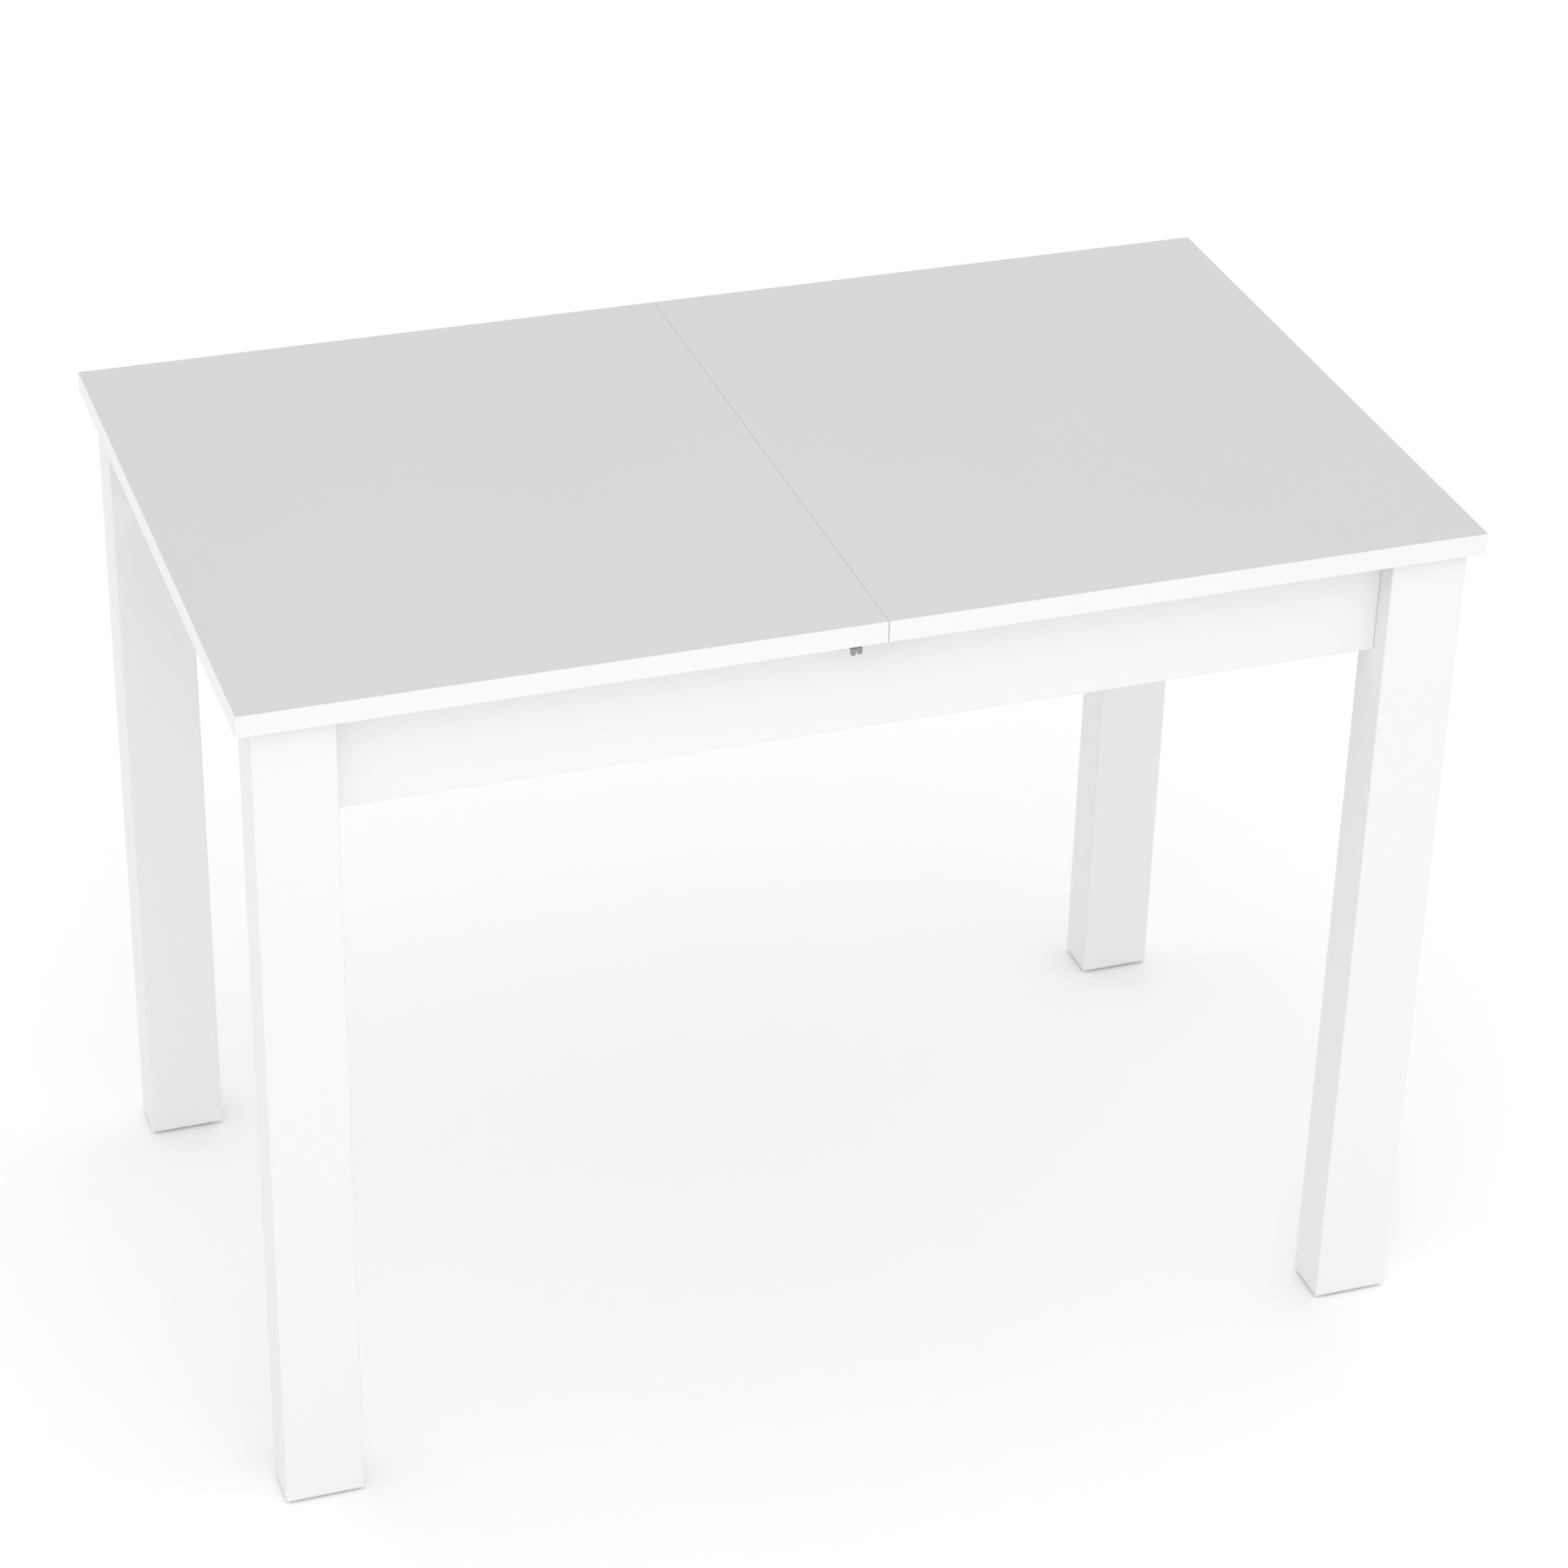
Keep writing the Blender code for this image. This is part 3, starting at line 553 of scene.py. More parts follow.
def mottled(name, colour, tint, clouds, spots, rough, depth, strength=0.4):
    """A finish of mottle() alone, with the depth and strength of its bumps."""
    material, tree, shader, place = new_finish(name)
    group = mottle(tree, place, colour, tint, clouds, spots, rough)
    connect(tree, shader, group, group.outputs["Colour"], strength, depth)
    return material


def beech(name, turn, shift):
    """Lacquered beech. turn lays its grain along a piece, and shift takes it from another plank."""
    material, tree, shader, place = new_finish(name, Coat_Weight=0.15, Coat_Roughness=0.35)
    way = add(tree, "Mapping", Vector=place, Rotation=turn, Location=shift).outputs["Vector"]
    group = add(
        tree,
        "Group",
        set_node_tree=GRAIN,
        Vector=way,
        Least_Roughness=0.42,
        Most_Roughness=0.66,
        Early_Wood=(0.66, 0.46, 0.28, 1.0),
        Late_Wood=(0.56, 0.36, 0.20, 1.0),
        Fleck=(0.36, 0.20, 0.10, 1.0),
    )
    connect(tree, shader, group, group.outputs["Colour"], 0.35, 0.00012)
    return material


def plated(name, colour, tint, worn, rough, coverage):
    """A plated metal with clouds in its plating, and rub marks of a brighter colour."""
    material, tree, shader, place = new_finish(name, Metallic=1.0)
    group = mottle(tree, place, colour, tint, 90.0, 2600.0, rough)
    marks = add(tree, "Group", set_node_tree=SCRATCHES, Vector=place, Scale=1800.0, Coverage=coverage)
    rubbed = mixed(tree, marks.outputs["Mask"], group.outputs["Colour"], worn)
    connect(tree, shader, group, rubbed, 0.25, 0.00004)
    return material


# Painted shade: the top's colour is set far darker than the frame's white. Part of this is the top's own
# light grey laminate, and the rest is the shade the top falls in, painted into its colour.
TOP_LAMINATE_WITH_PAINTED_SHADE = mottled(
    "top_laminate", grey(0.570), grey(0.592), 5.0, 900.0, (0.34, 0.56), 0.00005, 0.5
)
FRAME_LAMINATE = mottled(
    "frame_laminate", grey(0.797), grey(0.817), 4.0, 700.0, (0.38, 0.56), 0.00004, 0.45
)
EDGE_BAND = mottled(
    "edge_band", grey(0.795), grey(0.815), 9.0, 260.0, (0.26, 0.42), 0.00003, 0.25
)
CHIPBOARD = mottled(
    "chipboard", (0.50, 0.36, 0.22, 1.0), (0.30, 0.20, 0.11, 1.0), 700.0, 1500.0, (0.8, 0.95), 0.0004, 0.8
)
BEECH_LENGTHWISE = beech("beech_lengthwise", (0.0, math.radians(90), 0.0), (0.013, 0.0, 0.021))
BEECH_CROSSWISE = beech("beech_crosswise", (math.radians(90), 0.0, 0.0), (0.0, 0.017, 0.034))
BEECH_BLOCKS = beech("beech_blocks", (math.radians(90), 0.0, math.radians(45)), (0.031, 0.0, 0.011))
ZINC = plated(
    "zinc_plate", (0.66, 0.67, 0.69, 1.0), (0.74, 0.73, 0.66, 1.0), grey(0.86), (0.24, 0.44), 0.6
)
DARK_STEEL = plated("dark_plate", grey(0.30), grey(0.38, 0.02), grey(0.56), (0.34, 0.52), 0.35)
GLIDE_PLASTIC = mottled(
    "glide_plastic", grey(0.80, 0.01), grey(0.70, 0.03), 180.0, 1800.0, (0.40, 0.62), 0.00008
)
RUBBER = mottled("rubber", grey(0.030), grey(0.055, 0.03), 240.0, 2600.0, (0.72, 0.92), 0.0001, 0.6)


# ---- Boards, legs and aprons ----


def bore(centre, along, start, end, radius=HOLE_RADIUS, columns=40):
    """A plain cylinder to cut with, between two distances along a direction from a point."""
    profile = [(0, start), (radius, start), (radius, end), (0, end)]
    return moved(turned(profile, columns), centre, **directions(along))


def pin_bores(pins, along, edges):
    """Bores in line with the pins: edges are (place of the edge, way in, depth) along that direction."""
    bores = []
    for pin in pins:
        low, high = corners_of(pin)
        centre = (low + high) / 2
        axis = int(np.argmax(np.abs(along)))
        for edge, way, depth in edges:
            on_edge = centre.copy()
            on_edge[axis] = edge
            bores.append(bore(on_edge, np.array(along, float) * way, -BORE_LEAD, depth))
    return bores


def board(name, pins, along, edges, seams):
    """A chipboard panel faced with laminate, and banded but for the edges that meet at a seam.

    seams are the plan directions of those edges. They reach a little further out than the node, and
    their joint is drawn flush: its level goes back to the face's as the outline turns towards the seam.
    """
    low, high = corners_of(name)
    side, paints = banded(low[2], high[2], BAND_ROUND, BAND_THICKNESS)
    closing = np.array(seams) * SEAM_CLOSING
    plan_low = low[:2] + closing.clip(max=0).sum(axis=0)
    plan_high = high[:2] + closing.clip(min=0).sum(axis=0)
    points, normals = outline(rectangle(plan_low, plan_high, BOARD_CORNER))
    at_seam = np.clip(normals @ np.array(seams, float).T, 0, 1).max(axis=1)
    panel = carried((points, normals), side, np.where(at_seam > 0.5, 0, paints[:, None]))
    levels = panel["points"].reshape(len(side), len(points), 3)[..., 2]
    flush = np.array([[low[2]], [high[2]]])
    levels[[1, -2]] += (flush - levels[[1, -2]]) * at_seam
    cuts = {"holes": pin_bores(pins, along, edges), "hole_finish": CHIPBOARD}
    piece(f"{name}_board", [panel], [TOP_LAMINATE_WITH_PAINTED_SHADE, EDGE_BAND], name, "top_laminate", [name], **cuts)


def make_boards():
    """Both halves of the top and the loose leaf. The leaf's seams run along its two long edges."""
    seam_pins = [f"seam_pin_{number}" for number in PIN_NUMBERS]
    leaf_pins = [f"leaf_pin_{number}" for number in PIN_NUMBERS]
    left_edge, right_edge = corners_of("top_left")[1][0], corners_of("top_right")[0][0]
    board("top_left", seam_pins, (1, 0, 0), [(left_edge, -1, SOCKET_DEPTH)], [(1, 0)])
    board("top_right", seam_pins, (1, 0, 0), [(right_edge, 1, PIN_HOLE_DEPTH)], [(-1, 0)])
    low, high = corners_of("insert_leaf")
    edges = [(low[1], 1, PIN_HOLE_DEPTH), (high[1], -1, SOCKET_DEPTH)]
    board("insert_leaf", leaf_pins, (0, 1, 0), edges, [(0, 1), (0, -1)])


def make_pins():
    """Fluted beech pins: the radius dips in a cosine round the pin, and fades out at both points."""
    for name, body in (("seam_pin", "top_right"), ("leaf_pin", "insert_leaf")):
        for number in PIN_NUMBERS:
            node = f"{name}_{number}"
            low, high = corners_of(node)
            centre, along = (low + high) / 2, np.eye(3)[int(np.argmax(high - low))]
            half = float(np.max(high - low)) / 2

            def fluted(radius, height, angle):
                depth = FLUTE_DEPTH * np.clip((half - PIN_POINT - np.abs(height)) / PIN_POINT, 0, 1)
                return radius - depth * (0.5 + 0.5 * np.cos(FLUTE_COUNT * angle)), height

            levels = np.linspace(-half + PIN_POINT, half - PIN_POINT, 12)
            profile = [(0, -half), (PIN_RADIUS - PIN_POINT, -half)]
            profile += [(PIN_RADIUS, level) for level in levels]
            profile += [(PIN_RADIUS - PIN_POINT, half), (0, half)]
            dowel = moved(turned(profile, FLUTE_COUNT * 6, change=fluted), centre, **directions(along))
            finish = BEECH_LENGTHWISE if along[0] else BEECH_CROSSWISE
            piece(f"{node}_dowel", [dowel], [finish], body, "beech", [node])


def corner_axis(corner, x_sign, y_sign):
    """Where the corner's bolt leaves the leg, and the level direction in which it leaves."""
    low, high = corners_of(f"leg_{corner}")
    block_low, block_high = corners_of(f"corner_block_{corner}")
    inner = [(low if sign > 0 else high)[axis] for axis, sign in enumerate((x_sign, y_sign))]
    origin = np.array([*inner, (block_low[2] + block_high[2]) / 2])
    return origin, np.array([-x_sign, -y_sign, 0.0]) / math.sqrt(2)


def make_legs():
    """Straight legs wrapped in laminate, with softly rounded long edges and a bored inner corner."""
    for corner, x_sign, y_sign in CORNERS:
        node = f"leg_{corner}"
        low, high = corners_of(node)
        shape = outline(rectangle(low[:2], high[:2], LEG_ROUND))
        post = carried(shape, eased(low[2], high[2], APRON_ROUND))
        origin, inwards = corner_axis(corner, x_sign, y_sign)
        start = reach(f"hanger_bolt_{corner}", origin, inwards)[0]
        cuts = {"holes": [bore(origin, inwards, start - LEG_GAP, BORE_LEAD)], "hole_finish": CHIPBOARD}
        piece(f"{node}_post", [post], [FRAME_LAMINATE], "frame", "frame_laminate", [node], **cuts)


def make_aprons():
    """Boards on edge: a section with a hairline joint above the banded lower edge, carried end to end."""
    runs = {"front": ("yzx", 0), "back": ("yzx", 0), "left": ("xzy", 1), "right": ("xzy", 1)}
    for name, (order, along) in runs.items():
        node = f"apron_{name}"
        low, high = corners_of(node)
        across = 1 - along
        left, right, bottom, top = low[across], high[across], low[2], high[2]
        joint, half = bottom + BAND_THICKNESS, JOINT_WIDTH / 2
        notch = [(0, joint - half), (JOINT_DEPTH, joint), (0, joint + half)]
        section = [
            (left, bottom, BAND_ROUND),
            (right, bottom, BAND_ROUND),
            *((right - depth, level, JOINT_LIP) for depth, level in notch),
            (right, top, APRON_ROUND),
            (left, top, APRON_ROUND),
            *((left + depth, level, JOINT_LIP) for depth, level in reversed(notch)),
        ]
        ends = np.array([(0.0, low[along]), (0.0, high[along])])
        plank = carried(outline(section, 5), ends, order=order)
        piece(f"{node}_board", [plank], [FRAME_LAMINATE], "frame", "frame_laminate", [node])


# ---- Screws ----


def screw_head(place, outwards, radius, turn):
    """A countersunk head. Its top is a shallow dome, pressed in where the two bars of a cross lie."""
    rings = [(ring, 0.0) for ring in np.linspace(1.0, 0.0, 13)]
    profile = np.array([*HEAD_SIDE, *rings]) * radius

    def pressed(r, z, angle):
        x, y = np.abs(r * np.cos(angle + turn)) / radius, np.abs(r * np.sin(angle + turn)) / radius
        beside = np.clip((CROSS_HALF - np.minimum(x, y)) / CROSS_SIDE_SLOPE, 0, 1)
        before_end = np.clip((CROSS_REACH - np.maximum(x, y)) / CROSS_END_SLOPE, 0, 1)
        on_top = np.arange(len(profile))[:, None] >= len(HEAD_SIDE)
        dome = HEAD_DOME * radius * (1 - (r / radius) ** 2)
        return r, np.where(on_top, z + dome - beside * before_end * CROSS_DEPTH * radius, z)

    return moved(turned(profile, 56, change=pressed), place, **directions(outwards))


def screws(name, places, outwards, radius, body):
    """A row of zinc screw heads that look one way, each turned a little further than the last."""
    turns = [FIRST_TURN + TURN_STEP * number for number in range(len(places))]
    heads = [screw_head(place, outwards, radius, turn) for place, turn in zip(places, turns)]
    piece(name, heads, [ZINC], body, "zinc_steel")


# ---- Sliding gear ----


def make_rails():
    """Beech rails, grooved along both sides and screwed down into the battens."""
    for side in SIDES:
        node = f"guide_rail_{side}"
        low, high = corners_of(node)
        y0, y1, z0, z1 = low[1], high[1], low[2], high[2]
        middle, half = (z0 + z1) / 2, GROOVE_HEIGHT / 2
        groove = [(0, -half), (GROOVE_DEPTH, -half), (GROOVE_DEPTH, half), (0, half)]
        section = [
            (y0, z0, STICK_ROUND),
            (y1, z0, STICK_ROUND),
            *((y1 - depth, middle + rise, STICK_ROUND / 2) for depth, rise in groove),
            (y1, z1, STICK_ROUND),
            (y0, z1, STICK_ROUND),
            *((y0 + depth, middle - rise, STICK_ROUND / 2) for depth, rise in groove),
        ]
        rail = carried(outline(section, 4), eased(low[0], high[0], CUT_END_ROUND), order="yzx")
        battens = [corners_of(f"leaf_batten_{end}") for end in ENDS]
        places = [((a[0] + b[0]) / 2, (y0 + y1) / 2, z1 - SCREW_SINK) for a, b in battens]
        sink_radius = SCREW_RADIUS + SCREW_GAP
        sinks = [bore(place, (0, 0, 1), -SCREW_DEPTH, BORE_LEAD, sink_radius) for place in places]
        piece(f"{node}_stick", [rail], [BEECH_LENGTHWISE], "frame", "beech", [node], holes=sinks)
        screws(f"{node}_screws", places, (0, 0, 1), SCREW_RADIUS, "frame")


def make_runners():
    """Beech runners with a tongue towards the rail, screwed up into the top through deep sinks."""
    for corner, x_sign, _ in CORNERS:
        side, end = corner.split("_")
        node = f"runner_{corner}"
        low, high = corners_of(node)
        rail_low, rail_high = corners_of(f"guide_rail_{side}")
        outwards = 1 if low[1] + high[1] > rail_low[1] + rail_high[1] else -1
        middle = (rail_low[2] + rail_high[2]) / 2
        half = GROOVE_HEIGHT / 2 - TONGUE_GAP
        tip, away = (low[1], high[1]) if outwards > 0 else (high[1], low[1])
        face = tip + outwards * TONGUE_LENGTH
        section = [
            (away, low[2], STICK_ROUND),
            (face, low[2], STICK_ROUND),
            (face, middle - half, STICK_ROUND / 2),
            (tip, middle - half, STICK_ROUND),
            (tip, middle + half, STICK_ROUND),
            (face, middle + half, STICK_ROUND / 2),
            (face, high[2], STICK_ROUND),
            (away, high[2], STICK_ROUND),
        ]
        section = section[::-outwards]
        stick = carried(outline(section, 4), eased(low[0], high[0], CUT_END_ROUND), order="yzx")
        body = f"top_{end}"
        outer = max(abs(low[0]), abs(high[0]))
        start, stop = sorted((x_sign * RUNNER_SCREW_START, x_sign * (outer - RUNNER_SCREW_END)))
        sinks = [(x, (away + face) / 2, low[2]) for x in np.linspace(start, stop, 3)]
        holes = [bore(place, (0, 0, 1), -BORE_LEAD, COUNTERBORE_DEPTH, COUNTERBORE) for place in sinks]
        piece(f"{node}_stick", [stick], [BEECH_LENGTHWISE], body, "beech", [node], holes=holes)
        heads = [(x, y, z + COUNTERBORE_DEPTH - SCREW_STAND) for x, y, z in sinks]
        screws(f"{node}_screws", heads, (0, 0, -1), SCREW_RADIUS, body)


def make_battens():
    """Flat beech battens across the frame, with eased edges."""
    for end in ENDS:
        node = f"leaf_batten_{end}"
        low, high = corners_of(node)
        section = rectangle((low[0], low[2]), (high[0], high[2]), 2 * STICK_ROUND)
        batten = carried(outline(section, 5), eased(low[1], high[1], CUT_END_ROUND), order="xzy")
        piece(f"{node}_stick", [batten], [BEECH_CROSSWISE], "frame", "beech", [node])
        y, z = high[1] - BATTEN_SCREW_INSET, low[2] + SCREW_SINK
        across = [low[0] + share * (high[0] - low[0]) for share in (0.25, 0.75)]
        places = [(x, y_sign * y, z) for y_sign in SIDES.values() for x in across]
        screws(f"{node}_screws", places, (0, 0, -1), SCREW_RADIUS, "frame")


def make_buffers():
    """Rubber plugs with a rounded face and a groove round them, each held by a screw in a deep hole."""
    for corner, x_sign, _ in CORNERS:
        node = f"runner_buffer_{corner}"
        low, high = corners_of(node)
        centre = (low + high) / 2
        centre[0] = high[0] if x_sign > 0 else low[0]
        radius, length = (high[2] - low[2]) / 2, high[0] - low[0]
        floor = length * 0.45
        profile = np.concatenate(
            [
                [(0, 0), (radius - 0.0004, 0), (radius, 0.0004)],
                [(radius, length * 0.3), (radius - BUFFER_RING, length * 0.36), (radius, length * 0.42)],
                quarter((radius - BUFFER_ROUND, length - BUFFER_ROUND), BUFFER_ROUND, 0, 90, 7),
                quarter((BUFFER_HOLE + BUFFER_LIP, length - BUFFER_LIP), BUFFER_LIP, 90, 180, 5),
                [(BUFFER_HOLE, floor), (0, floor)],
            ]
        )
        plug = moved(turned(profile, 56), centre, **directions((-x_sign, 0, 0)))
        piece(f"{node}_plug", [plug], [RUBBER], "frame", "rubber", [node])
        head = centre - np.array([x_sign * (floor + BUFFER_SCREW_STAND), 0, 0])
        screws(f"{node}_screw", [head], (-x_sign, 0, 0), BUFFER_SCREW_RADIUS, "frame")


# ---- Corner joints ----


def ridge(turns):
    """A V thread's height from 0 at the root to 1 at the flat crest, for a share of a turn."""
    share = np.abs((turns % 1.0) - 0.5) * 2
    return np.clip(share * 1.25, 0, 1)


def hanger_bolt(start, end):
    """A bolt with a coarse tapered thread on one side of a plain shank and a fine one on the other."""
    shank_start, shank_end, point = WOOD_THREAD_END, SHANK_END, end - BOLT_POINT
    coarse = np.arange(start, shank_start, WOOD_PITCH / WOOD_THREAD_STEPS)
    fine = np.arange(shank_end, point, MACHINE_PITCH / THREAD_STEPS)
    levels = np.concatenate([coarse, [shank_start, shank_end - THREAD_RUNOUT], fine, [point]])
    side = [(BOLT_RADIUS, level) for level in levels]
    profile = [(0, start), *side, (BOLT_RADIUS - BOLT_CHAMFER, end), (0, end)]

    def threaded(radius, height, angle):
        share = angle / (2 * math.pi)
        wood = WOOD_THREAD_DEPTH * (1 - ridge(height / WOOD_PITCH - share))
        metal = THREAD_DEPTH * (1 - ridge(height / MACHINE_PITCH - share))
        taper = np.clip((height - start) / WOOD_THREAD_TAPER, 0.25, 1)
        inner = np.maximum(radius - wood, 0) * taper
        outer = np.where(height >= shank_end, radius - metal, radius)
        cut = np.where(height < shank_start, inner, outer)
        return np.where(radius < BOLT_RADIUS, radius, cut), height

    return turned(profile, 28, change=threaded)


def wing_nut(low):
    """The nut's hub, a ring with a bore, and its two wings: rounded plates that stand up and out."""
    high = low + NUT_HEIGHT
    ring = np.concatenate(
        [
            [(HOLE_RADIUS, low), (NUT_HUB - 0.0004, low), (NUT_HUB, low + 0.0004)],
            quarter((NUT_HUB - 0.0020, high - 0.0010), 0.0010, 0, 90, 5),
            [(HOLE_RADIUS + 0.0004, high), (HOLE_RADIUS, high - 0.0004)],
        ]
    )
    tip, top = WING_TIP, high + WING_RISE
    wing = [
        (WING_ROOT, low + 0.0012, 0.0012),
        (tip - 0.0012, top - 0.0062, 0.0030),
        (tip, top - 0.0030, 0.0024),
        (tip - 0.0034, top, 0.0022),
        (tip - 0.0062, top - 0.0030, 0.0030),
        (WING_ROOT, high - 0.0012, 0.0012),
    ]
    edge = eased(-WING_HALF, WING_HALF, 0.0010)
    right = carried(outline(wing, 7), edge, order="yzx")
    left = carried(outline([(-y, z, r) for y, z, r in reversed(wing)], 7), edge, order="yzx")
    return turned(ring, 56, ring=True), [right, left]


def make_corner_joints():
    """Each corner's block, its screws, and the bolt with its washer and wing nut on the bolt's axis."""
    for corner, x_sign, y_sign in CORNERS:
        origin, inwards = corner_axis(corner, x_sign, y_sign)
        axes = directions(inwards)
        node = f"hanger_bolt_{corner}"
        bolt = moved(hanger_bolt(*reach(node, origin, inwards)), origin, **axes)
        piece(f"{node}_screw", [bolt], [ZINC], "frame", "zinc_steel", [node])
        node = f"washer_{corner}"
        washer_low, washer_high = reach(node, origin, inwards)
        rim = eased(washer_low, washer_high, 0.0003) + (WASHER_RADIUS, 0)
        lip = (eased(washer_low, washer_high, 0.0002) * (-1, 1) + (HOLE_RADIUS, 0))[::-1]
        washer = moved(turned(np.concatenate([rim, lip]), 56, ring=True), origin, **axes)
        piece(f"{node}_ring", [washer], [ZINC], "frame", "zinc_steel", [node])
        node = f"wing_nut_{corner}"
        hub, wings = wing_nut(reach(node, origin, inwards)[0])
        hub, *wings = (moved(one, origin, **axes) for one in (hub, *wings))
        shapes = {"joined": wings, "cast": NUT_VOXEL}
        piece(f"{node}_casting", [hub], [ZINC], "frame", "zinc_steel", [node], **shapes)
        make_block(corner, x_sign, y_sign, origin, inwards)


def make_block(corner, x_sign, y_sign, origin, inwards):
    """A prism round the leg's inner corner, with a slanted face square to the bolt and two sunk screws."""
    node = f"corner_block_{corner}"
    low, high = corners_of(node)
    near, far = np.minimum(abs(low), abs(high)), np.maximum(abs(low), abs(high))
    leg = np.abs(origin) - LEG_GAP
    corners = [(leg[0], far[1]), (near[0], far[1]), (far[0], near[1]), (far[0], leg[1]), (leg[0], leg[1])]
    corners = [(x_sign * x, y_sign * y, STICK_ROUND) for x, y in corners]
    corners = corners if x_sign * y_sign > 0 else corners[::-1]
    prism = carried(outline(corners, 4), eased(low[2], high[2], STICK_ROUND))
    side = np.array([-inwards[1], inwards[0], 0.0])
    places = [origin + inwards * BLOCK_DEPTH + side * BLOCK_SCREW_SPREAD * sign for sign in (-1, 1)]
    holes = [bore(origin, inwards, -BORE_LEAD, BLOCK_DEPTH + BORE_LEAD)]
    holes += [bore(place, inwards, -BLOCK_SINK, BORE_LEAD, COUNTERBORE) for place in places]
    piece(f"{node}_prism", [prism], [BEECH_BLOCKS], "frame", "beech", [node], holes=holes)
    heads = [place - inwards * BLOCK_HEAD_DEPTH for place in places]
    screws(f"{node}_screws", heads, inwards, SCREW_RADIUS, "frame")


def make_glides():
    """Plastic discs with a nail's head in a dished hole underneath, clear of the floor."""
    for corner, _, _ in CORNERS:
        node = f"foot_glide_{corner}"
        low, high = corners_of(node)
        centre = ((low[0] + high[0]) / 2, (low[1] + high[1]) / 2, 0)
        radius, top = (high[0] - low[0]) / 2, high[2]
        profile = np.concatenate(
            [
                GLIDE_DISH,
                quarter((radius - GLIDE_ROUND, GLIDE_ROUND), GLIDE_ROUND, -90, 0, 6),
                quarter((radius - 0.0003, top - 0.0003), 0.0003, 0, 90, 3),
                [(0, top)],
            ]
        )
        disc = moved(turned(profile, 72), centre)
        piece(f"{node}_disc", [disc], [GLIDE_PLASTIC], "frame", "glide_plastic", [node])
        dome = quarter((0.0, 0.0), NAIL_RADIUS, -90, 0, 7) * (1, NAIL_DOME) + (0, NAIL_LEVEL)
        rim = [(NAIL_RADIUS, NAIL_LEVEL + 0.0002), (0, NAIL_LEVEL + 0.0004)]
        nail = moved(turned(np.concatenate([dome, rim]), 40), centre)
        piece(f"{node}_nail", [nail], [ZINC], "frame", "zinc_steel")


# ---- Catches ----


def make_plate(node, body, holes, x_screws):
    """A stamped plate against the underside, held by two small screws. A keeper's plate bears its stud."""
    low, high = corners_of(node)
    (_, _, bottom), (_, _, top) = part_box("catch_base_front")
    shape = outline(rectangle(low[:2], high[:2], PLATE_CORNER))
    y_middle = (low[1] + high[1]) / 2
    places = [(x, y_middle, bottom + JOIN_STEP) for x in x_screws]
    sink_radius = SMALL_SCREW_RADIUS + STEEL_GAP
    sinks = [bore(place, (0, 0, 1), -PLATE_LEAD, PLATE_SINK, sink_radius, 32) for place in places]
    plate = carried(shape, eased(bottom, top, STEEL_EASING))
    shapes = {"holes": [*holes, *sinks]}
    if node.startswith("catch_keeper"):
        shapes["joined"] = [headed_stud(stud_place(low, high), top - STUD_ROOT, bottom)]
    piece(f"{node}_plate", [plate], [DARK_STEEL], body, "dark_steel", [node], **shapes)
    screws(f"{node}_screws", places, (0, 0, -1), SMALL_SCREW_RADIUS, body)


def headed_stud(place, top, plate_bottom):
    """A round stud with a domed head under the lever."""
    neck = plate_bottom - STUD_NECK
    dome = quarter((0.0, 0.0), 1.0, -90, 0, 9) * (HEAD_RADIUS, HEAD_HEIGHT * 0.72)
    dome += (0, neck - HEAD_HEIGHT * 0.28)
    rim = [(HEAD_RADIUS, neck - HEAD_RIM), (HEAD_RADIUS - HEAD_RIM, neck)]
    shank = [(STUD_RADIUS, neck), (STUD_RADIUS, top), (0, top)]
    return moved(turned(np.concatenate([dome, rim, shank])), (*place, 0))


def stud_place(low, high):
    """The keeper's stud stands level with the rivet, across the seam from it."""
    side = "front" if (low[1] + high[1]) / 2 < 0 else "back"
    rivet_low, rivet_high = corners_of(f"catch_rivet_{side}")
    middle = (rivet_low + rivet_high) / 2
    return middle[0] + PIVOT_TO_STUD, middle[1]


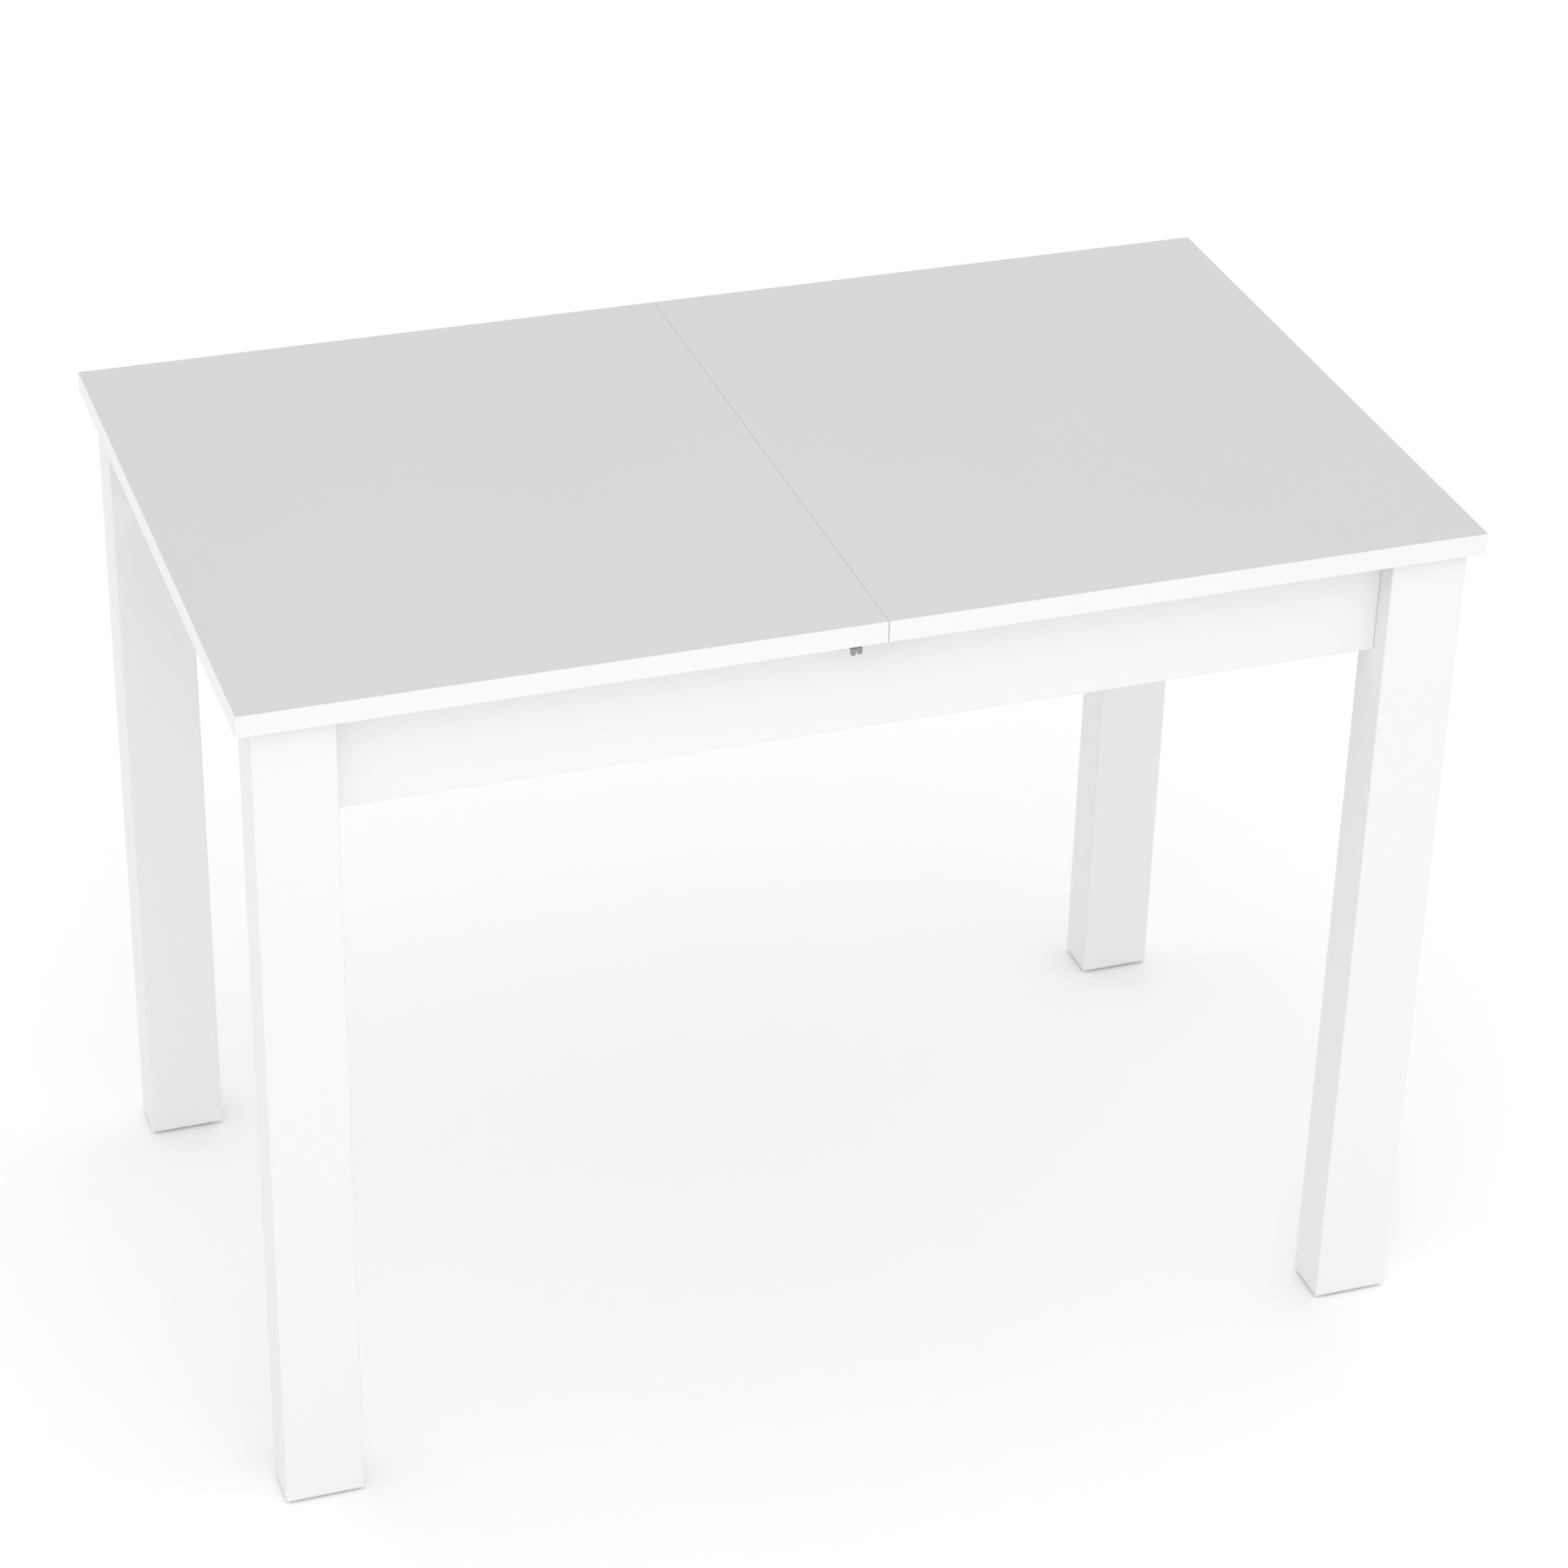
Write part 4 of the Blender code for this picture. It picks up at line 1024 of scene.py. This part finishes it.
def lever_skins(y_sign, low, high, drop, ear):
    """The lever about its rivet: a flat notched bar, a tab carried round a bend, and two padded fingers.

    low and high are the bar's faces, drop is the lowest level, and ear is how far out the tab's face lies.
    """
    tail = -CATCH_TAIL
    right, left = PIVOT_TO_STUD + NOTCH_RADIUS, PIVOT_TO_STUD - NOTCH_RADIUS
    bar = [
        (tail, -BAR_BACK, 0.0020),
        (BAR_TIP, -BAR_BACK, 0.0030),
        (BAR_TIP, BAR_FRONT, 0.0010),
        (right, BAR_FRONT, 0.0004),
        (right, -NOTCH_RADIUS, NOTCH_RADIUS * 0.98),
        (left, -NOTCH_RADIUS, NOTCH_RADIUS * 0.98),
        (left, BAR_FRONT, 0.0004),
        (tail + TAB_WIDTH, BAR_FRONT, 0.0010),
        (tail + TAB_WIDTH, ear - ARM_END, 0.0004),
        (tail, ear - ARM_END, 0.0004),
    ]
    flat = carried(outline(bar, 6), eased(low, high, STEEL_EASING))
    half = (high - low) / 2
    bend = quarter((ear - TAB_BEND - half, low + half - TAB_BEND), TAB_BEND, 90, 0, 9)
    path = np.concatenate([[(ear - TAB_START, low + half)], bend, [(ear - half, low - 0.0012)]])
    ways = np.gradient(path, axis=0)
    ways /= np.linalg.norm(ways, axis=1, keepdims=True)
    thin = half - JOIN_STEP
    section, _ = outline(
        rectangle((-thin, tail + JOIN_STEP), (thin, tail + TAB_WIDTH - JOIN_STEP), STEEL_EASING), 4
    )
    sides = np.stack([-ways[:, 1], ways[:, 0]], axis=-1)
    grid = np.empty((len(path), len(section), 3))
    grid[..., 0] = section[None, :, 1]
    grid[..., 1:] = path[:, None] + section[None, :, :1] * sides[:, None]
    tab = skin(grid, capped=True)
    middle, slit, foot = tail + TAB_WIDTH / 2, TAB_SLIT / 2, drop + TAB_LIFT
    near, far = tail - JOIN_STEP, tail + TAB_WIDTH + JOIN_STEP
    fingers = [
        (near, foot, FINGER_ROUND),
        (middle - slit, foot, FINGER_ROUND * 0.85),
        (middle - slit, foot + SLIT_HEIGHT, slit * 0.98),
        (middle + slit, foot + SLIT_HEIGHT, slit * 0.98),
        (middle + slit, foot, FINGER_ROUND * 0.85),
        (far, foot, FINGER_ROUND),
        (far, low - 0.0004, 2 * STEEL_EASING),
        (near, low - 0.0004, 2 * STEEL_EASING),
    ]
    thickness = eased(ear - 2 * half - JOIN_STEP, ear + JOIN_STEP, 2 * STEEL_EASING)
    fronts = [carried(outline(fingers, 7), thickness, order="xzy")]
    for share in (0.24, 0.76):
        centre = tail + share * TAB_WIDTH
        pad = rectangle((centre - PAD_HALF, foot + 0.0009), (centre + PAD_HALF, low - 0.0016), PAD_CORNER)
        side = eased(ear - PAD_ROOT, ear + PAD_RISE, PAD_RISE)
        fronts.append(carried(outline(pad, 6), side, order="xzy"))
    skins = [flat, tab, *fronts]
    for one in skins:
        one["points"] = one["points"] * (1, y_sign, 1)
    return skins


def make_catches():
    """On each long edge: a base, a rivet and a lever on one half, and a keeper on the other."""
    for side, y_sign in SIDES.items():
        rivet_low, rivet_high = corners_of(f"catch_rivet_{side}")
        pivot = (rivet_low + rivet_high) / 2
        plate_low, _ = corners_of(f"catch_base_{side}")
        place = (pivot[0], pivot[1])
        hole_radius = STUD_RADIUS + STEEL_GAP
        base_hole = bore((*place, plate_low[2]), (0, 0, 1), -BORE_LEAD, BORE_LEAD, hole_radius)
        base_screws = [plate_low[0] + inset for inset in BASE_SCREWS]
        make_plate(f"catch_base_{side}", "top_left", [base_hole], base_screws)
        keeper_low, keeper_high = corners_of(f"catch_keeper_{side}")
        keeper_screws = [keeper_low[0] + KEEPER_SCREWS[0], keeper_high[0] - KEEPER_SCREWS[1]]
        make_plate(f"catch_keeper_{side}", "top_right", [], keeper_screws)
        node = f"catch_rivet_{side}"
        rivet = headed_stud(place, rivet_high[2], plate_low[2])
        piece(f"{node}_head", [rivet], [DARK_STEEL], "top_left", "dark_steel", [node])
        lever_low, lever_high = corners_of(f"catch_lever_{side}")
        edge = corners_of("top_left")[1][1] - EDGE_INSET
        ear = (edge - abs(pivot[1]) - CATCH_TAIL * math.sin(CATCH_SWING)) / math.cos(CATCH_SWING)
        bar_low, bar_high = lever_high[2] - BAR_THICKNESS, lever_high[2]
        skins = lever_skins(y_sign, bar_low, bar_high, lever_low[2], ear - TAB_ROOM)
        angle = -y_sign * CATCH_SWING
        across = (math.cos(angle), math.sin(angle), 0)
        up = (-math.sin(angle), math.cos(angle), 0)
        skins = [moved(one, (*place, 0), across, up) for one in skins]
        hole = bore((*place, bar_low), (0, 0, 1), -BORE_LEAD, BORE_LEAD, hole_radius)
        node, body, shapes = f"catch_lever_{side}", f"catch_{side}", {"joined": skins[1:], "holes": [hole]}
        piece(f"{node}_hook", skins[:1], [DARK_STEEL], body, "dark_steel", [node], **shapes)


# ---- Studio ----

FLOOR_HALF = 30.0
CAMERA_PLACE = (-1.0276, -2.9698, 2.3266)
CAMERA_YAW = 19.5132
CAMERA_PITCH = 31.0607
CAMERA_ROLL = 1.4548
CAMERA_LENS = 98.853
SENSOR_WIDTH = 36.0


def make_camera():
    """The camera is turned about the vertical, then tipped down, then rolled."""
    camera = bpy.data.objects.new("camera", bpy.data.cameras.new("camera"))
    bpy.context.scene.collection.objects.link(camera)
    camera.data.sensor_width = SENSOR_WIDTH
    camera.data.lens = CAMERA_LENS
    camera.location = CAMERA_PLACE
    yaw, pitch, roll = (math.radians(angle) for angle in (-CAMERA_YAW, 90 - CAMERA_PITCH, CAMERA_ROLL))
    turned_by = (
        mathutils.Matrix.Rotation(yaw, 3, "Z")
        @ mathutils.Matrix.Rotation(pitch, 3, "X")
        @ mathutils.Matrix.Rotation(roll, 3, "Z")
    )
    camera.rotation_euler = turned_by.to_euler()
    bpy.context.scene.camera = camera


def make_floor():
    """A wide, nearly white, matt floor."""
    corners = np.array([(-1, -1, 0), (1, -1, 0), (1, 1, 0), (-1, 1, 0)], float) * FLOOR_HALF
    mesh = bpy.data.meshes.new("floor")
    mesh.from_pydata(corners.tolist(), [], [(0, 1, 2, 3)])
    mesh.materials.append(
        mottled("floor", grey(0.975), grey(0.98), 1.5, 220.0, (0.75, 0.9), 0.00003, 0.1)
    )
    floor = bpy.data.objects.new("floor", mesh)
    bpy.context.scene.collection.objects.link(floor)


WORLD_STRENGTH = 1.03
LIGHT_TARGET = (0.0, 0.0, 0.4)
LIGHTS = [
    ("key", (-0.3, -1.4, 2.4), 1.2, 5.0),
    ("front", (-0.8, -8.0, 1.6), 4.5, 50.0),
    ("overhead", (0.3, 0.6, 4.2), 4.0, 4.0),
]


def make_lights():
    """A plain white room, and round soft boxes of (name, place, size, power), which all face the table."""
    world = bpy.data.worlds.new("studio")
    bpy.context.scene.world = world
    world.use_nodes = True
    world.node_tree.nodes["Background"].inputs["Color"].default_value = (1.0, 1.0, 1.0, 1.0)
    world.node_tree.nodes["Background"].inputs["Strength"].default_value = WORLD_STRENGTH
    for name, place, size, power in LIGHTS:
        lamp = bpy.data.lights.new(name, "AREA")
        lamp.shape, lamp.size, lamp.energy = "DISK", size, power
        light = bpy.data.objects.new(name, lamp)
        bpy.context.scene.collection.objects.link(light)
        light.visible_camera = False
        light.location = place
        way = mathutils.Vector(LIGHT_TARGET) - mathutils.Vector(place)
        light.rotation_euler = way.to_track_quat("-Z", "Y").to_euler()
    bpy.context.scene.view_settings.view_transform = "Standard"


make_boards()
make_pins()
make_legs()
make_aprons()
make_rails()
make_runners()
make_battens()
make_buffers()
make_corner_joints()
make_glides()
make_catches()
make_camera()
make_floor()
make_lights()
